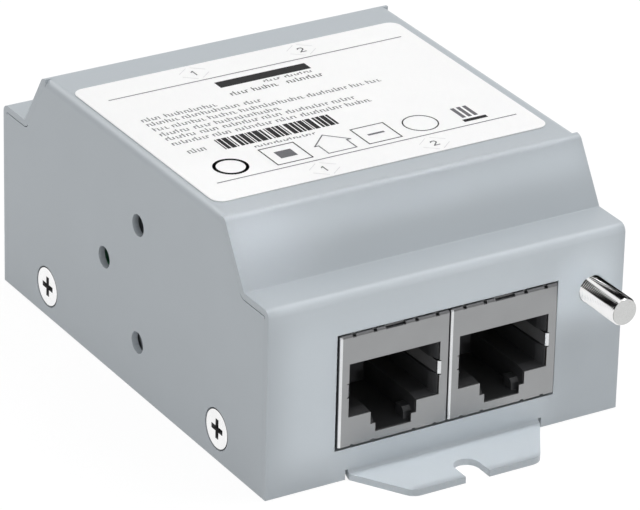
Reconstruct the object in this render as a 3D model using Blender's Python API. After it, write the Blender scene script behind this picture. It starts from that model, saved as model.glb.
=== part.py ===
"""Ethernet surge protector with two protected lines, in a folded steel housing.

The housing is one folded sheet. It is screwed to a tray that carries the circuit board,
and two shielded network sockets look out of each end. A ground stud stands on the front wall,
and an ear with an open slot is bent out at the foot of each end wall.

Metres, +Z up. The origin is on the bottom plane, in the middle of the body.
The front faces -Y, left is -X as seen from the front.
"""

import math

import bmesh
import bpy
from mathutils import Matrix, Vector

MM = 0.001

# Housing, one folded sheet
BODY_WIDTH = 52.0 * MM
BODY_LENGTH = 69.5 * MM
SHOULDER_HEIGHT = 26.0 * MM
TOP_HEIGHT = 34.0 * MM
SHOULDER_DEPTH = 6.0 * MM
SLOPE_RUN = 5.0 * MM
SHEET = 0.9 * MM
BEND_INNER_RADIUS = 0.2 * MM
BEND_OUTER_RADIUS = BEND_INNER_RADIUS + SHEET
SEAM_GAP = 0.12 * MM
CORNER_RELIEF = 0.35 * MM
CORNER_LAND = 0.2 * MM
RELIEF_DEPTH = 0.15 * MM

# Ears bent out at the foot of the end walls
EAR_REACH = 7.9 * MM
EAR_ROOT_WIDTH = 28.2 * MM
EAR_TIP_WIDTH = 18.6 * MM
EAR_CORNER_RADIUS = 2.0 * MM
EAR_BEND_RADIUS = 0.4 * MM
EAR_RELIEF_WIDTH = 0.4 * MM
EAR_RELIEF_RISE = 0.1 * MM
EAR_SLOT_WIDTH = 3.5 * MM
EAR_SLOT_DEPTH = 4.2 * MM

# Clearances
SEAT_GAP = 0.2 * MM
PASS_GAP = 0.15 * MM
JACK_FIT_GAP = 0.1 * MM
STUD_FIT_GAP = 0.04 * MM
PART_GAP = 0.5 * MM

# Tray under the housing
TRAY_FLANGE_HEIGHT = 8.6 * MM
TRAY_CORNER_RELIEF = 2.2 * MM

# Countersunk screws through the side walls into the tray
SIDE_SCREW_INSET = 12.2 * MM
SIDE_SCREW_SPACING = BODY_LENGTH - 2 * SIDE_SCREW_INSET
SIDE_SCREW_HEIGHT = 4.3 * MM
SCREW_DIAMETER = 3.0 * MM
SIDE_SCREW_HEAD = 5.4 * MM
SIDE_SCREW_LENGTH = 5.0 * MM
SIDE_SCREW_RIM = 0.15 * MM
SIDE_SCREW_SINK = 0.05 * MM
CROSS_SPAN = 2.9 * MM
CROSS_WIDTH = 0.75 * MM
CROSS_DEPTH = 1.1 * MM
CROSS_TAPER = 0.55
SCREW_TIP_CHAMFER = 0.3 * MM

# Bracket holes in the left side wall
BRACKET_HOLE_DIAMETER = 3.0 * MM
BRACKET_HOLE_Y = -2.05 * MM
BRACKET_HOLE_Z = 15.45 * MM
BRACKET_HOLE_RISE = 8.3 * MM
BRACKET_HOLE_REACH = 8.9 * MM

# Network sockets, side by side
JACK_WIDTH = 15.9 * MM
JACK_HEIGHT = 15.35 * MM
JACK_DEPTH = 21.5 * MM
JACK_PITCH = JACK_WIDTH + JACK_FIT_GAP
JACK_PROUD = 0.45 * MM
JACK_SIDE = (JACK_PITCH + JACK_WIDTH) / 2
JACK_BACK = BODY_LENGTH / 2 + JACK_PROUD - JACK_DEPTH

# Circuit board and what holds it
BOARD_SIDE_GAP = 0.95 * MM
BOARD_WIDTH = BODY_WIDTH - 2 * (SIDE_SCREW_SINK + SIDE_SCREW_LENGTH + BOARD_SIDE_GAP)
BOARD_END_GAP = 3.75 * MM
BOARD_LENGTH = BODY_LENGTH - 2 * BOARD_END_GAP
BOARD_THICKNESS = 1.6 * MM
STANDOFF_HEIGHT = 1.85 * MM
STANDOFF_WIDTH = 5.5 * MM
BOARD_SCREW_HEAD = 4.8 * MM
BOARD_SCREW_INSET = 2.5 * MM
BOARD_SCREW_TO_JACK = 0.8 * MM
BOARD_SCREW_X = BOARD_WIDTH / 2 - BOARD_SCREW_INSET
BOARD_SCREW_Y = JACK_BACK - BOARD_SCREW_TO_JACK - BOARD_SCREW_HEAD / 2
BOARD_SCREW_HEAD_HEIGHT = 1.8 * MM
# Pan head, from its crown to its edge: shares of the head's radius and height
PAN_HEAD_SHARES = ((0.55, 1.0), (0.85, 0.87), (1.0, 0.5), (1.0, 0.0))

STANDOFF_BASE = SHEET + SEAT_GAP
BOARD_BOTTOM = STANDOFF_BASE + STANDOFF_HEIGHT + SEAT_GAP
BOARD_TOP = BOARD_BOTTOM + BOARD_THICKNESS

# Cut-out in the end wall, and the shield of each socket
JACK_BASE = BOARD_TOP + SEAT_GAP
CUTOUT_SIDE_GAP = 0.2 * MM
CUTOUT_TOP_GAP = 0.12 * MM
CUTOUT_BOTTOM_GAP = 0.6 * MM
SHIELD_SHEET = 0.25 * MM
SHIELD_SIDE_RADIUS = 0.35 * MM
SHIELD_TOP_RADIUS = 0.3 * MM
NOTCH_DEPTH = 0.35 * MM
NOTCH_WIDTH = 0.5 * MM
NOTCH_OFFSETS = (-5.95 * MM, -2.95 * MM, 3.05 * MM, 6.05 * MM)
DASH_NOTCH_WIDTH = 2.9 * MM
FOOT_NOTCH_RISE = 0.15 * MM

# Plug opening, measured from the foot of the socket
OPENING_WIDTH = 13.15 * MM
OPENING_LOW = 4.0 * MM
OPENING_HIGH = 11.4 * MM
LATCH_WIDTH = 6.65 * MM
LATCH_LOW = 2.3 * MM
LATCH_FOOT_WIDTH = 5.2 * MM
LATCH_FOOT = 1.1 * MM

# Plastic insert
LEAD_IN_DEPTH = 1.4 * MM
LEAD_IN_SIDE_STEP = 0.6 * MM
LEAD_IN_FLOOR_STEP = 0.25 * MM
LEAD_IN_OVERRUN = 0.1 * MM
PLUG_DEPTH = 12.6 * MM
INSERT_DEPTH = 16.0 * MM
CATCH_START = 0.8 * MM
CATCH_LENGTH = 1.9 * MM
CATCH_RISE = 1.5 * MM
CATCH_CHAMFER = 0.5 * MM
CATCH_ROOT = 0.4 * MM
CONTACT_BAY_WIDTH = 9.6 * MM
CONTACT_BAY_RISE = 2.1 * MM
CONTACT_BAY_START = 2.4 * MM

# Spring fingers of the shield, at the sides of the opening
FINGER_LOW = 6.85 * MM
FINGER_WIDTH = 1.75 * MM
FINGER_LENGTH = 7.5 * MM
FINGER_BEND = 0.45 * MM
FINGER_REACH = 0.2 * MM
FINGER_LEAN = 0.3 * MM
FINGER_SLIT = 0.15 * MM

# Contact wires and their carrier
CONTACT_COUNT = 8
CONTACT_PITCH = 1.02 * MM
CONTACT_WIDTH = 0.45 * MM
CONTACT_THICKNESS = 0.35 * MM
CONTACT_DROP = 3.1 * MM
CONTACT_REACH = 7.0 * MM
CONTACT_HOOK_RADIUS = 0.6 * MM
CARRIER_ARM = 3.6 * MM
CARRIER_WIDTH = 9.0 * MM

# Ground stud
STUD_Z = 18.0 * MM
STUD_DIAMETER = 3.8 * MM
STUD_REACH = 7.3 * MM
STUD_CHAMFER = 0.15 * MM
STUD_HEAD = 4.4 * MM
STUD_HEAD_THICKNESS = 1.0 * MM
# The head fits between the sockets and the side wall, at a set share of the room that is left
STUD_HEAD_GAP = 0.1 * MM
STUD_SHARE = 0.68
STUD_ROOM = BODY_WIDTH / 2 - SHEET - JACK_SIDE - STUD_HEAD - 2 * STUD_HEAD_GAP
STUD_X = JACK_SIDE + STUD_HEAD_GAP + STUD_HEAD / 2 + STUD_SHARE * STUD_ROOM

# Rating label
LABEL_SIDE_MARGIN = 1.55 * MM
LABEL_WIDTH = BODY_WIDTH - 2 * LABEL_SIDE_MARGIN
LABEL_END_MARGIN = 4.85 * MM
LABEL_LENGTH = BODY_LENGTH - 2 * (SHOULDER_DEPTH + SLOPE_RUN + LABEL_END_MARGIN)
LABEL_X = -0.45 * MM
LABEL_Y = -0.9 * MM
LABEL_THICKNESS = 0.12 * MM
LABEL_CORNER_RADIUS = 1.6 * MM
LABEL_GAP = 0.03 * MM

# Surge parts on the board
TUBE_DIAMETER = 5.0 * MM
TUBE_LENGTH = 6.0 * MM
TUBE_CAP = 1.0 * MM
TUBE_WAIST = 4.65 * MM
TUBE_CHAMFER = 0.25 * MM
TUBE_PITCH = 8.0 * MM
TUBES_IN_ROW = 4
TUBE_ROW_Y = TUBE_LENGTH / 2 + PART_GAP
ARRAY_INSET = 11.0 * MM
ARRAY_X = BOARD_WIDTH / 2 - ARRAY_INSET
ARRAY_Y = BOARD_LENGTH / 4
ARRAY_WIDTH = 5.0 * MM
ARRAY_LENGTH = 3.7 * MM
ARRAY_HEIGHT = 1.5 * MM
ARRAY_LEADS = 4
ARRAY_LEAD_PITCH = 1.27 * MM
ARRAY_LEAD_WIDTH = 0.42 * MM
ARRAY_LEAD_REACH = 0.9 * MM
ARRAY_LEAD_THICKNESS = 0.2 * MM

BEND_SEGMENTS = 5
SHIELD_SIDE_SEGMENTS = 3
SHIELD_TOP_SEGMENTS = 2
ROUND_SEGMENTS = 32
SMALL_ROUND_SEGMENTS = 16
CUT_OVERRUN = 1.0 * MM
CUT_OVERLAP = 0.5 * MM
FACE_CUT_DEPTH = SHIELD_SHEET + JACK_FIT_GAP / 2
TOLERANCE = 0.001 * MM
SMOOTH_ANGLE = math.radians(35)


def clear_scene():
    for item in list(bpy.data.objects):
        bpy.data.objects.remove(item, do_unlink=True)


def make_material(name, colour, roughness, metallic):
    material = bpy.data.materials.new(name)
    material.use_nodes = True
    shader = material.node_tree.nodes["Principled BSDF"]
    shader.inputs["Base Color"].default_value = (*colour, 1.0)
    shader.inputs["Roughness"].default_value = roughness
    shader.inputs["Metallic"].default_value = metallic
    material.diffuse_color = (*colour, 1.0)
    return material


def arc_points(centre, radius, start, end, segments):
    """Points of an arc in a plane, both ends included, angles in radians."""
    points = []
    for step in range(segments + 1):
        angle = start + (end - start) * step / segments
        points.append(Vector((centre[0] + radius * math.cos(angle),
                              centre[1] + radius * math.sin(angle))))
    return points


def rounded_path(corners, radii, segments):
    """Polyline through the corners, with an arc of the given radius at each inner corner."""
    points = [Vector(corners[0])]
    for before, corner, after, radius in zip(corners, corners[1:], corners[2:], radii):
        corner = Vector(corner)
        back = (Vector(before) - corner).normalized()
        ahead = (Vector(after) - corner).normalized()
        half = back.angle(ahead) / 2
        run = radius / math.tan(half)
        centre = corner + (back + ahead).normalized() * (radius / math.sin(half))
        start = corner + back * run - centre
        end = corner + ahead * run - centre
        turn = math.copysign(math.pi - 2 * half, start.x * end.y - start.y * end.x)
        for step in range(segments + 1):
            points.append(centre + Matrix.Rotation(turn * step / segments, 2) @ start)
    points.append(Vector(corners[-1]))
    return points


def rounded_outline(corners, radii, segments):
    """Closed polygon with an arc at each corner whose radius isn't zero."""
    count = len(corners)
    outline = []
    for index, radius in enumerate(radii):
        if radius == 0:
            outline.append(Vector(corners[index]))
            continue
        trio = (corners[index - 1], corners[index], corners[(index + 1) % count])
        outline.extend(rounded_path(trio, (radius,), segments)[1:-1])
    return outline


def offset_path(corners, distance):
    """Open polyline moved sideways, to the right of its own direction."""
    lines = []
    for start, end in zip(corners, corners[1:]):
        start, end = Vector(start), Vector(end)
        along = (end - start).normalized()
        shift = Vector((along.y, -along.x)) * distance
        lines.append((start + shift, end + shift, along))
    points = [lines[0][0]]
    for (start, _, along), (other, _, other_along) in zip(lines, lines[1:]):
        cross = along.x * other_along.y - along.y * other_along.x
        gap = other - start
        reach = (gap.x * other_along.y - gap.y * other_along.x) / cross
        points.append(start + along * reach)
    points.append(lines[-1][1])
    return points


def add_prism(bm, outline, place, low, high, far_scale=1.0):
    """Closed prism of a plane outline. place(u, v, w) gives the point, w runs from low to high."""
    middle = sum((Vector(point) for point in outline), Vector((0, 0))) / len(outline)
    near = [bm.verts.new(place(u, v, low)) for u, v in outline]
    far = []
    for point in outline:
        u, v = middle + (Vector(point) - middle) * far_scale
        far.append(bm.verts.new(place(u, v, high)))
    faces = [bm.faces.new(near), bm.faces.new(list(reversed(far)))]
    for index in range(len(outline)):
        after = (index + 1) % len(outline)
        faces.append(bm.faces.new((near[after], near[index], far[index], far[after])))
    bmesh.ops.recalc_face_normals(bm, faces=faces)
    return faces


def along_x(u, v, w):
    return Vector((w, u, v))


def along_y(u, v, w):
    return Vector((u, w, v))


def along_z(u, v, w):
    return Vector((u, v, w))


def add_box(bm, low, high):
    outline = ((low[0], low[1]), (high[0], low[1]), (high[0], high[1]), (low[0], high[1]))
    return add_prism(bm, outline, along_z, low[2], high[2])


def add_turned(bm, profile, segments, matrix=Matrix.Identity(4)):
    """Closed round solid about its own Z axis. profile lists (radius, height) from one end to the other."""
    rings = []
    for radius, height in profile:
        ring = []
        for step in range(segments):
            angle = 2 * math.pi * step / segments
            point = Vector((radius * math.cos(angle), radius * math.sin(angle), height))
            ring.append(bm.verts.new(matrix @ point))
        rings.append(ring)
    faces = [bm.faces.new(rings[0]), bm.faces.new(rings[-1])]
    for lower, upper in zip(rings, rings[1:]):
        for step in range(segments):
            after = (step + 1) % segments
            faces.append(bm.faces.new((lower[step], lower[after], upper[after], upper[step])))
    bmesh.ops.recalc_face_normals(bm, faces=faces)


def aim(origin, direction):
    """Matrix that puts a turned solid's foot at origin, with its Z axis along direction."""
    turn = Vector((0, 0, 1)).rotation_difference(Vector(direction))
    return Matrix.Translation(origin) @ turn.to_matrix().to_4x4()


def finish_mesh(name, bm):
    mesh = bpy.data.meshes.new(name)
    bm.to_mesh(mesh)
    bm.free()
    return mesh


def smooth(mesh):
    mesh.shade_smooth()
    mesh.set_sharp_from_angle(angle=SMOOTH_ANGLE)
    return mesh


def evaluate(item, name):
    """Mesh of an object with its modifiers, after which the object is removed."""
    bpy.context.view_layer.update()
    depsgraph = bpy.context.evaluated_depsgraph_get()
    mesh = bpy.data.meshes.new_from_object(item.evaluated_get(depsgraph))
    mesh.name = name
    bpy.data.objects.remove(item, do_unlink=True)
    return mesh


def helper_object(name, mesh):
    item = bpy.data.objects.new(name, mesh)
    item.hide_render = True
    item.display_type = 'WIRE'
    bpy.context.scene.collection.objects.link(item)
    return item


def combine(name, mesh, tool_bm, operation):
    """Mesh after a Boolean with a tool, which may hold several separate solids."""
    body = helper_object(name + "_body", mesh)
    tool = helper_object(name + "_tool", finish_mesh(name + "_tool", tool_bm))
    modifier = body.modifiers.new("combine", 'BOOLEAN')
    modifier.operation = operation
    modifier.solver = 'EXACT'
    modifier.object = tool
    result = evaluate(body, name)
    bpy.data.objects.remove(tool, do_unlink=True)
    return result


def place_part(name, mesh, material, location=(0, 0, 0), turn=(0, 0, 0)):
    """One node: an object with its own material slot, placed by location and rotation."""
    item = bpy.data.objects.new(name, mesh)
    bpy.context.scene.collection.objects.link(item)
    if not mesh.materials:
        mesh.materials.append(material)
    item.location = location
    item.rotation_euler = turn
    return item


def folded_sheet(name, bm, thickness):
    """Solid sheet grown inwards from the outer surface of a folded part."""
    bmesh.ops.remove_doubles(bm, verts=bm.verts, dist=TOLERANCE)
    body = helper_object(name, finish_mesh(name, bm))
    modifier = body.modifiers.new("sheet", 'SOLIDIFY')
    modifier.thickness = thickness
    modifier.offset = -1.0
    modifier.use_even_offset = True
    return evaluate(body, name)


def add_face(bm, points):
    return bm.faces.new([bm.verts.new(point) for point in points])


def add_strip(bm, path, place, low, high):
    """Row of quads along a path, between two edges. The path runs so that low is on its left."""
    for start, end in zip(path, path[1:]):
        add_face(bm, (place(*start, low), place(*end, low), place(*end, high), place(*start, high)))


def end_profile():
    """Sharp corners (y, z) of the front half of the outer surface, from the top down to the floor."""
    wall = -BODY_LENGTH / 2
    return [(0.0, TOP_HEIGHT),
            (wall + SHOULDER_DEPTH + SLOPE_RUN, TOP_HEIGHT),
            (wall + SHOULDER_DEPTH, SHOULDER_HEIGHT),
            (wall, SHOULDER_HEIGHT),
            (wall, 0.0)]


def end_radii(inset):
    """Bend radii along end_profile, for a line that lies inset below the outer surface."""
    outer = BEND_OUTER_RADIUS - inset
    return (outer, BEND_INNER_RADIUS + inset, outer)


def ear_outline():
    """Plan outline (x, y) of the flat part of the front ear, from its root on the left."""
    wall = -BODY_LENGTH / 2
    root = wall - EAR_BEND_RADIUS
    tip = wall - EAR_REACH
    half_root = EAR_ROOT_WIDTH / 2
    half_tip = EAR_TIP_WIDTH / 2
    half_slot = EAR_SLOT_WIDTH / 2
    corners = ((-half_root, root), (-half_tip, tip), (-half_slot, tip))
    left = rounded_path(corners, (EAR_CORNER_RADIUS,), BEND_SEGMENTS)
    slot_end = tip + EAR_SLOT_DEPTH - half_slot
    slot = arc_points((0, slot_end), half_slot, math.pi, 0, 2 * BEND_SEGMENTS)
    right = [Vector((-point.x, point.y)) for point in reversed(left)]
    return left + slot + right


def add_end(bm, flip):
    """Slope, shoulder, end wall and ear of one end. flip is 1 for the front and -1 for the rear."""
    half = BODY_WIDTH / 2
    wall = -BODY_LENGTH / 2
    half_root = EAR_ROOT_WIDTH / 2

    def put(x, y, z):
        return Vector((x, y, z)) if flip == 1 else Vector((-x, -y, z))

    path = rounded_path(end_profile(), end_radii(0), BEND_SEGMENTS)[1:-1]
    add_strip(bm, path, lambda y, z, x: put(x, y, z), -half, half)

    ear_top = SHEET + EAR_BEND_RADIUS
    relief_top = ear_top + EAR_RELIEF_RISE
    relief_out = half_root + EAR_RELIEF_WIDTH
    wall_top = path[-1].y
    right = [(half_root, ear_top), (half_root, relief_top), (relief_out, relief_top),
             (relief_out, 0.0), (half, 0.0), (half, wall_top)]
    left = [(-x, z) for x, z in reversed(right)]
    add_face(bm, [put(x, wall, z) for x, z in right + left])

    centre = (wall - EAR_BEND_RADIUS, ear_top)
    bend = arc_points(centre, EAR_BEND_RADIUS, 0, -math.pi / 2, BEND_SEGMENTS)
    add_strip(bm, bend, lambda y, z, x: put(x, y, z), -half_root, half_root)
    add_face(bm, [put(x, y, SHEET) for x, y in ear_outline()])


def add_side(bm, flip):
    """Side bend and side wall. flip is -1 for the left and 1 for the right."""
    half = BODY_WIDTH / 2
    inset = SHEET + SEAM_GAP
    bend_line = TOP_HEIGHT - BEND_OUTER_RADIUS
    bend_end = top_bend_start() + CORNER_LAND + CORNER_RELIEF
    bend = arc_points((half - BEND_OUTER_RADIUS, bend_line), BEND_OUTER_RADIUS, math.pi / 2, 0, BEND_SEGMENTS)

    def put(x, y, z):
        return Vector((x, y, z)) if flip == 1 else Vector((-x, -y, z))

    add_strip(bm, bend, lambda x, z, y: put(x, y, z), bend_end, -bend_end)

    seam = rounded_path(offset_path(end_profile(), -inset), end_radii(inset), BEND_SEGMENTS)
    corner = bend_end - CORNER_RELIEF
    front = [Vector((bend_end, bend_line)), Vector((corner, bend_line)), Vector((corner, seam[1].y))]
    front += [point for point in seam[1:] if point.x < corner]
    rear = [Vector((-point.x, point.y)) for point in reversed(front)]
    add_face(bm, [put(half, y, z) for y, z in front + rear])


def top_bend_start():
    """Y of the line where the top starts to bend down into the front slope."""
    return rounded_path(end_profile(), end_radii(0), BEND_SEGMENTS)[1].x


def add_top(bm):
    """Flat top, with a relief notch at each corner between the end strip and the side bend."""
    half = BODY_WIDTH / 2
    flat = half - BEND_OUTER_RADIUS
    inner = flat - RELIEF_DEPTH
    edge = top_bend_start()
    land = edge + CORNER_LAND
    bend_end = land + CORNER_RELIEF
    quarter = [(half, edge), (half, land), (inner, land), (inner, bend_end), (flat, bend_end)]
    right = quarter + [(x, -y) for x, y in reversed(quarter)]
    left = [(-x, y) for x, y in reversed(right)]
    add_face(bm, [Vector((x, y, TOP_HEIGHT)) for x, y in right + left])


def jack_centres():
    """X, Y, turn about Z and name of each socket: its face stands proud of the end wall."""
    face = BODY_LENGTH / 2 + JACK_PROUD
    return (("front_left", -JACK_PITCH / 2, -face, 0.0),
            ("front_right", JACK_PITCH / 2, -face, 0.0),
            ("rear_left", -JACK_PITCH / 2, face, math.pi),
            ("rear_right", JACK_PITCH / 2, face, math.pi))


def side_screw_places():
    """Name, head centre and inward direction of each side screw."""
    head_x = BODY_WIDTH / 2 - SIDE_SCREW_SINK
    places = []
    for side, x in (("left", -head_x), ("right", head_x)):
        for end, y in (("front", -SIDE_SCREW_SPACING / 2), ("rear", SIDE_SCREW_SPACING / 2)):
            inward = (-math.copysign(1, x), 0, 0)
            places.append((end + "_" + side, (x, y, SIDE_SCREW_HEIGHT), inward))
    return places


def countersunk_profile(growth):
    """Radius and depth of a countersunk screw, grown sideways for its hole."""
    head = SIDE_SCREW_HEAD / 2 + growth
    shank = SCREW_DIAMETER / 2 + growth
    return head, shank, SIDE_SCREW_RIM + head - shank


def add_wall_holes(bm):
    """Cutters for the sockets, the screws, the bracket holes and the stud."""
    half_length = BODY_LENGTH / 2
    half_cutout = JACK_SIDE + CUTOUT_SIDE_GAP
    low = JACK_BASE - CUTOUT_BOTTOM_GAP
    high = JACK_BASE + JACK_HEIGHT + CUTOUT_TOP_GAP
    reach = SHEET + CUT_OVERRUN
    for side in (-1, 1):
        inner, outer = sorted((side * (half_length - reach), side * (half_length + CUT_OVERRUN)))
        add_box(bm, (-half_cutout, inner, low), (half_cutout, outer, high))

    head, shank, cone = countersunk_profile(PASS_GAP)
    profile = ((head, -CUT_OVERRUN), (head, SIDE_SCREW_RIM), (shank, cone), (shank, reach + cone))
    for _, centre, inward in side_screw_places():
        add_turned(bm, profile, ROUND_SEGMENTS, aim(centre, inward))

    radius = BRACKET_HOLE_DIAMETER / 2
    profile = ((radius, 0), (radius, reach + CUT_OVERRUN))
    for y, z in bracket_hole_centres():
        foot = (-BODY_WIDTH / 2 - CUT_OVERRUN, y, z)
        add_turned(bm, profile, ROUND_SEGMENTS, aim(foot, (1, 0, 0)))

    radius = STUD_DIAMETER / 2 + STUD_FIT_GAP
    foot = (STUD_X, -half_length - CUT_OVERRUN, STUD_Z)
    add_turned(bm, ((radius, 0), (radius, reach + CUT_OVERRUN)), ROUND_SEGMENTS, aim(foot, (0, 1, 0)))


def bracket_hole_centres():
    return ((BRACKET_HOLE_Y, BRACKET_HOLE_Z + BRACKET_HOLE_RISE),
            (BRACKET_HOLE_Y + BRACKET_HOLE_REACH, BRACKET_HOLE_Z),
            (BRACKET_HOLE_Y, BRACKET_HOLE_Z - BRACKET_HOLE_RISE))


def make_housing(material):
    """Top, slopes, shoulders, end walls, ears and side walls, folded from one sheet."""
    bm = bmesh.new()
    add_top(bm)
    add_end(bm, 1)
    add_end(bm, -1)
    add_side(bm, -1)
    add_side(bm, 1)
    sheet = folded_sheet("housing", bm, SHEET)
    cutters = bmesh.new()
    add_wall_holes(cutters)
    mesh = combine("housing", sheet, cutters, 'DIFFERENCE')
    place_part("housing", smooth(mesh), material)


def make_tray(material):
    """Bottom plate with a flange bent up inside each side wall, which takes the side screws."""
    half_width = BODY_WIDTH / 2 - SHEET - SEAT_GAP
    half_length = BODY_LENGTH / 2 - SHEET - SEAT_GAP
    flange_end = half_length - TRAY_CORNER_RELIEF
    flat = half_width - BEND_OUTER_RADIUS
    left = [(-half_width, TRAY_FLANGE_HEIGHT), (-half_width, 0)]
    profile = left + [(-x, z) for x, z in reversed(left)]
    path = rounded_path(profile, (BEND_OUTER_RADIUS, BEND_OUTER_RADIUS), BEND_SEGMENTS)
    middle = len(path) // 2

    bm = bmesh.new()
    add_strip(bm, path[:middle], lambda x, z, y: Vector((x, y, z)), flange_end, -flange_end)
    add_strip(bm, path[middle:], lambda x, z, y: Vector((x, y, z)), flange_end, -flange_end)
    inner = flat - RELIEF_DEPTH
    corner = [(flat, -flange_end), (inner, -flange_end), (inner, -half_length)]
    front = [(-x, y) for x, y in corner] + list(reversed(corner))
    rear = [(-x, -y) for x, y in front]
    add_face(bm, [Vector((x, y, 0)) for x, y in reversed(front + rear)])
    sheet = folded_sheet("base_tray", bm, SHEET)

    cutters = bmesh.new()
    # The screw's cone ends inside the flange, so the hole clears it at the flange's outer face
    cone_depth = SHEET + SEAT_GAP - SIDE_SCREW_SINK
    radius = SIDE_SCREW_HEAD / 2 + SIDE_SCREW_RIM - cone_depth + PASS_GAP
    profile = ((radius, 0), (radius, cone_depth + SHEET + CUT_OVERRUN))
    for _, centre, inward in side_screw_places():
        add_turned(cutters, profile, SMALL_ROUND_SEGMENTS, aim(centre, inward))
    mesh = combine("base_tray", sheet, cutters, 'DIFFERENCE')
    place_part("base_tray", smooth(mesh), material)


def add_cross(bm, matrix):
    """Tapered cross recess, its mouth at the matrix's origin and its depth along Z."""
    arm = CROSS_SPAN / 2
    half = CROSS_WIDTH / 2
    quarter = ((arm, half), (half, half), (half, arm))
    outline = []
    for turn in range(4):
        spin = Matrix.Rotation(turn * math.pi / 2, 2)
        outline.extend(spin @ Vector(point) for point in quarter)
    overrun = SIDE_SCREW_RIM
    add_prism(bm, outline, lambda u, v, w: matrix @ Vector((u, v, w)), -overrun, CROSS_DEPTH, CROSS_TAPER)


def make_side_screws(material):
    head, shank, cone = countersunk_profile(0)
    tip = SCREW_TIP_CHAMFER
    bm = bmesh.new()
    profile = ((head, 0), (head, SIDE_SCREW_RIM), (shank, cone),
               (shank, SIDE_SCREW_LENGTH - tip), (shank - tip, SIDE_SCREW_LENGTH))
    add_turned(bm, profile, ROUND_SEGMENTS)
    cutters = bmesh.new()
    add_cross(cutters, Matrix.Identity(4))
    mesh = smooth(combine("side_screw", finish_mesh("side_screw", bm), cutters, 'DIFFERENCE'))
    for name, centre, inward in side_screw_places():
        turn = (0, math.copysign(math.pi / 2, inward[0]), 0)
        place_part("side_screw_" + name, mesh, material, centre, turn)


def make_stud(material):
    """Turned stud: its head lies behind the front wall, its shank stands out through it."""
    shank = STUD_DIAMETER / 2
    wall = -BODY_LENGTH / 2
    head_face = wall + SHEET + SEAT_GAP
    tip = wall - STUD_REACH
    length = head_face - tip
    bm = bmesh.new()
    profile = ((shank - STUD_CHAMFER, 0), (shank, STUD_CHAMFER), (shank, length),
               (STUD_HEAD / 2, length), (STUD_HEAD / 2, length + STUD_HEAD_THICKNESS))
    add_turned(bm, profile, ROUND_SEGMENTS)
    mesh = smooth(finish_mesh("ground_stud", bm))
    place_part("ground_stud", mesh, material, (STUD_X, tip, STUD_Z), (-math.pi / 2, 0, 0))


def make_label(material):
    half_x, half_y = LABEL_WIDTH / 2, LABEL_LENGTH / 2
    corners = ((-half_x, -half_y), (half_x, -half_y), (half_x, half_y), (-half_x, half_y))
    outline = rounded_outline(corners, [LABEL_CORNER_RADIUS] * 4, BEND_SEGMENTS)
    bm = bmesh.new()
    add_prism(bm, outline, along_z, 0, LABEL_THICKNESS)
    place_part("rating_label", finish_mesh("rating_label", bm), material,
               (LABEL_X, LABEL_Y, TOP_HEIGHT + LABEL_GAP))


def board_screw_centres():
    places = []
    for side, x in (("left", -BOARD_SCREW_X), ("right", BOARD_SCREW_X)):
        for end, y in (("front", -BOARD_SCREW_Y), ("rear", BOARD_SCREW_Y)):
            places.append((end + "_" + side, x, y))
    return places


def make_board(material):
    half_x, half_y = BOARD_WIDTH / 2, BOARD_LENGTH / 2
    bm = bmesh.new()
    add_box(bm, (-half_x, -half_y, 0), (half_x, half_y, BOARD_THICKNESS))
    cutters = bmesh.new()
    radius = SCREW_DIAMETER / 2 + SEAT_GAP
    for _, x, y in board_screw_centres():
        profile = ((radius, -CUT_OVERRUN), (radius, BOARD_THICKNESS + CUT_OVERRUN))
        add_turned(cutters, profile, SMALL_ROUND_SEGMENTS, Matrix.Translation((x, y, 0)))
    mesh = combine("circuit_board", finish_mesh("circuit_board", bm), cutters, 'DIFFERENCE')
    place_part("circuit_board", mesh, material, (0, 0, BOARD_BOTTOM))


def make_standoffs(material):
    """Hexagonal spacers between the tray and the board."""
    corner = STANDOFF_WIDTH / math.sqrt(3)
    hexagon = arc_points((0, 0), corner, 0, 2 * math.pi, 6)[:-1]
    bm = bmesh.new()
    add_prism(bm, hexagon, along_z, 0, STANDOFF_HEIGHT)
    cutters = bmesh.new()
    radius = SCREW_DIAMETER / 2 + SEAT_GAP
    profile = ((radius, -CUT_OVERRUN), (radius, STANDOFF_HEIGHT + CUT_OVERRUN))
    add_turned(cutters, profile, SMALL_ROUND_SEGMENTS)
    mesh = combine("board_standoff", finish_mesh("board_standoff", bm), cutters, 'DIFFERENCE')
    for name, x, y in board_screw_centres():
        place_part("board_standoff_" + name, mesh, material, (x, y, STANDOFF_BASE))


def make_board_screws(material):
    """Pan head screws through the board into the standoffs."""
    head = BOARD_SCREW_HEAD / 2
    shank = SCREW_DIAMETER / 2
    length = SEAT_GAP + BOARD_THICKNESS + SEAT_GAP + STANDOFF_HEIGHT
    profile = [(out * head, up * BOARD_SCREW_HEAD_HEIGHT) for out, up in PAN_HEAD_SHARES]
    profile += [(shank, 0), (shank, -length)]
    bm = bmesh.new()
    add_turned(bm, profile, SMALL_ROUND_SEGMENTS)
    cutters = bmesh.new()
    add_cross(cutters, aim((0, 0, BOARD_SCREW_HEAD_HEIGHT), (0, 0, -1)))
    mesh = smooth(combine("board_screw", finish_mesh("board_screw", bm), cutters, 'DIFFERENCE'))
    for name, x, y in board_screw_centres():
        place_part("board_screw_" + name, mesh, material, (x, y, BOARD_TOP + SEAT_GAP))


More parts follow.
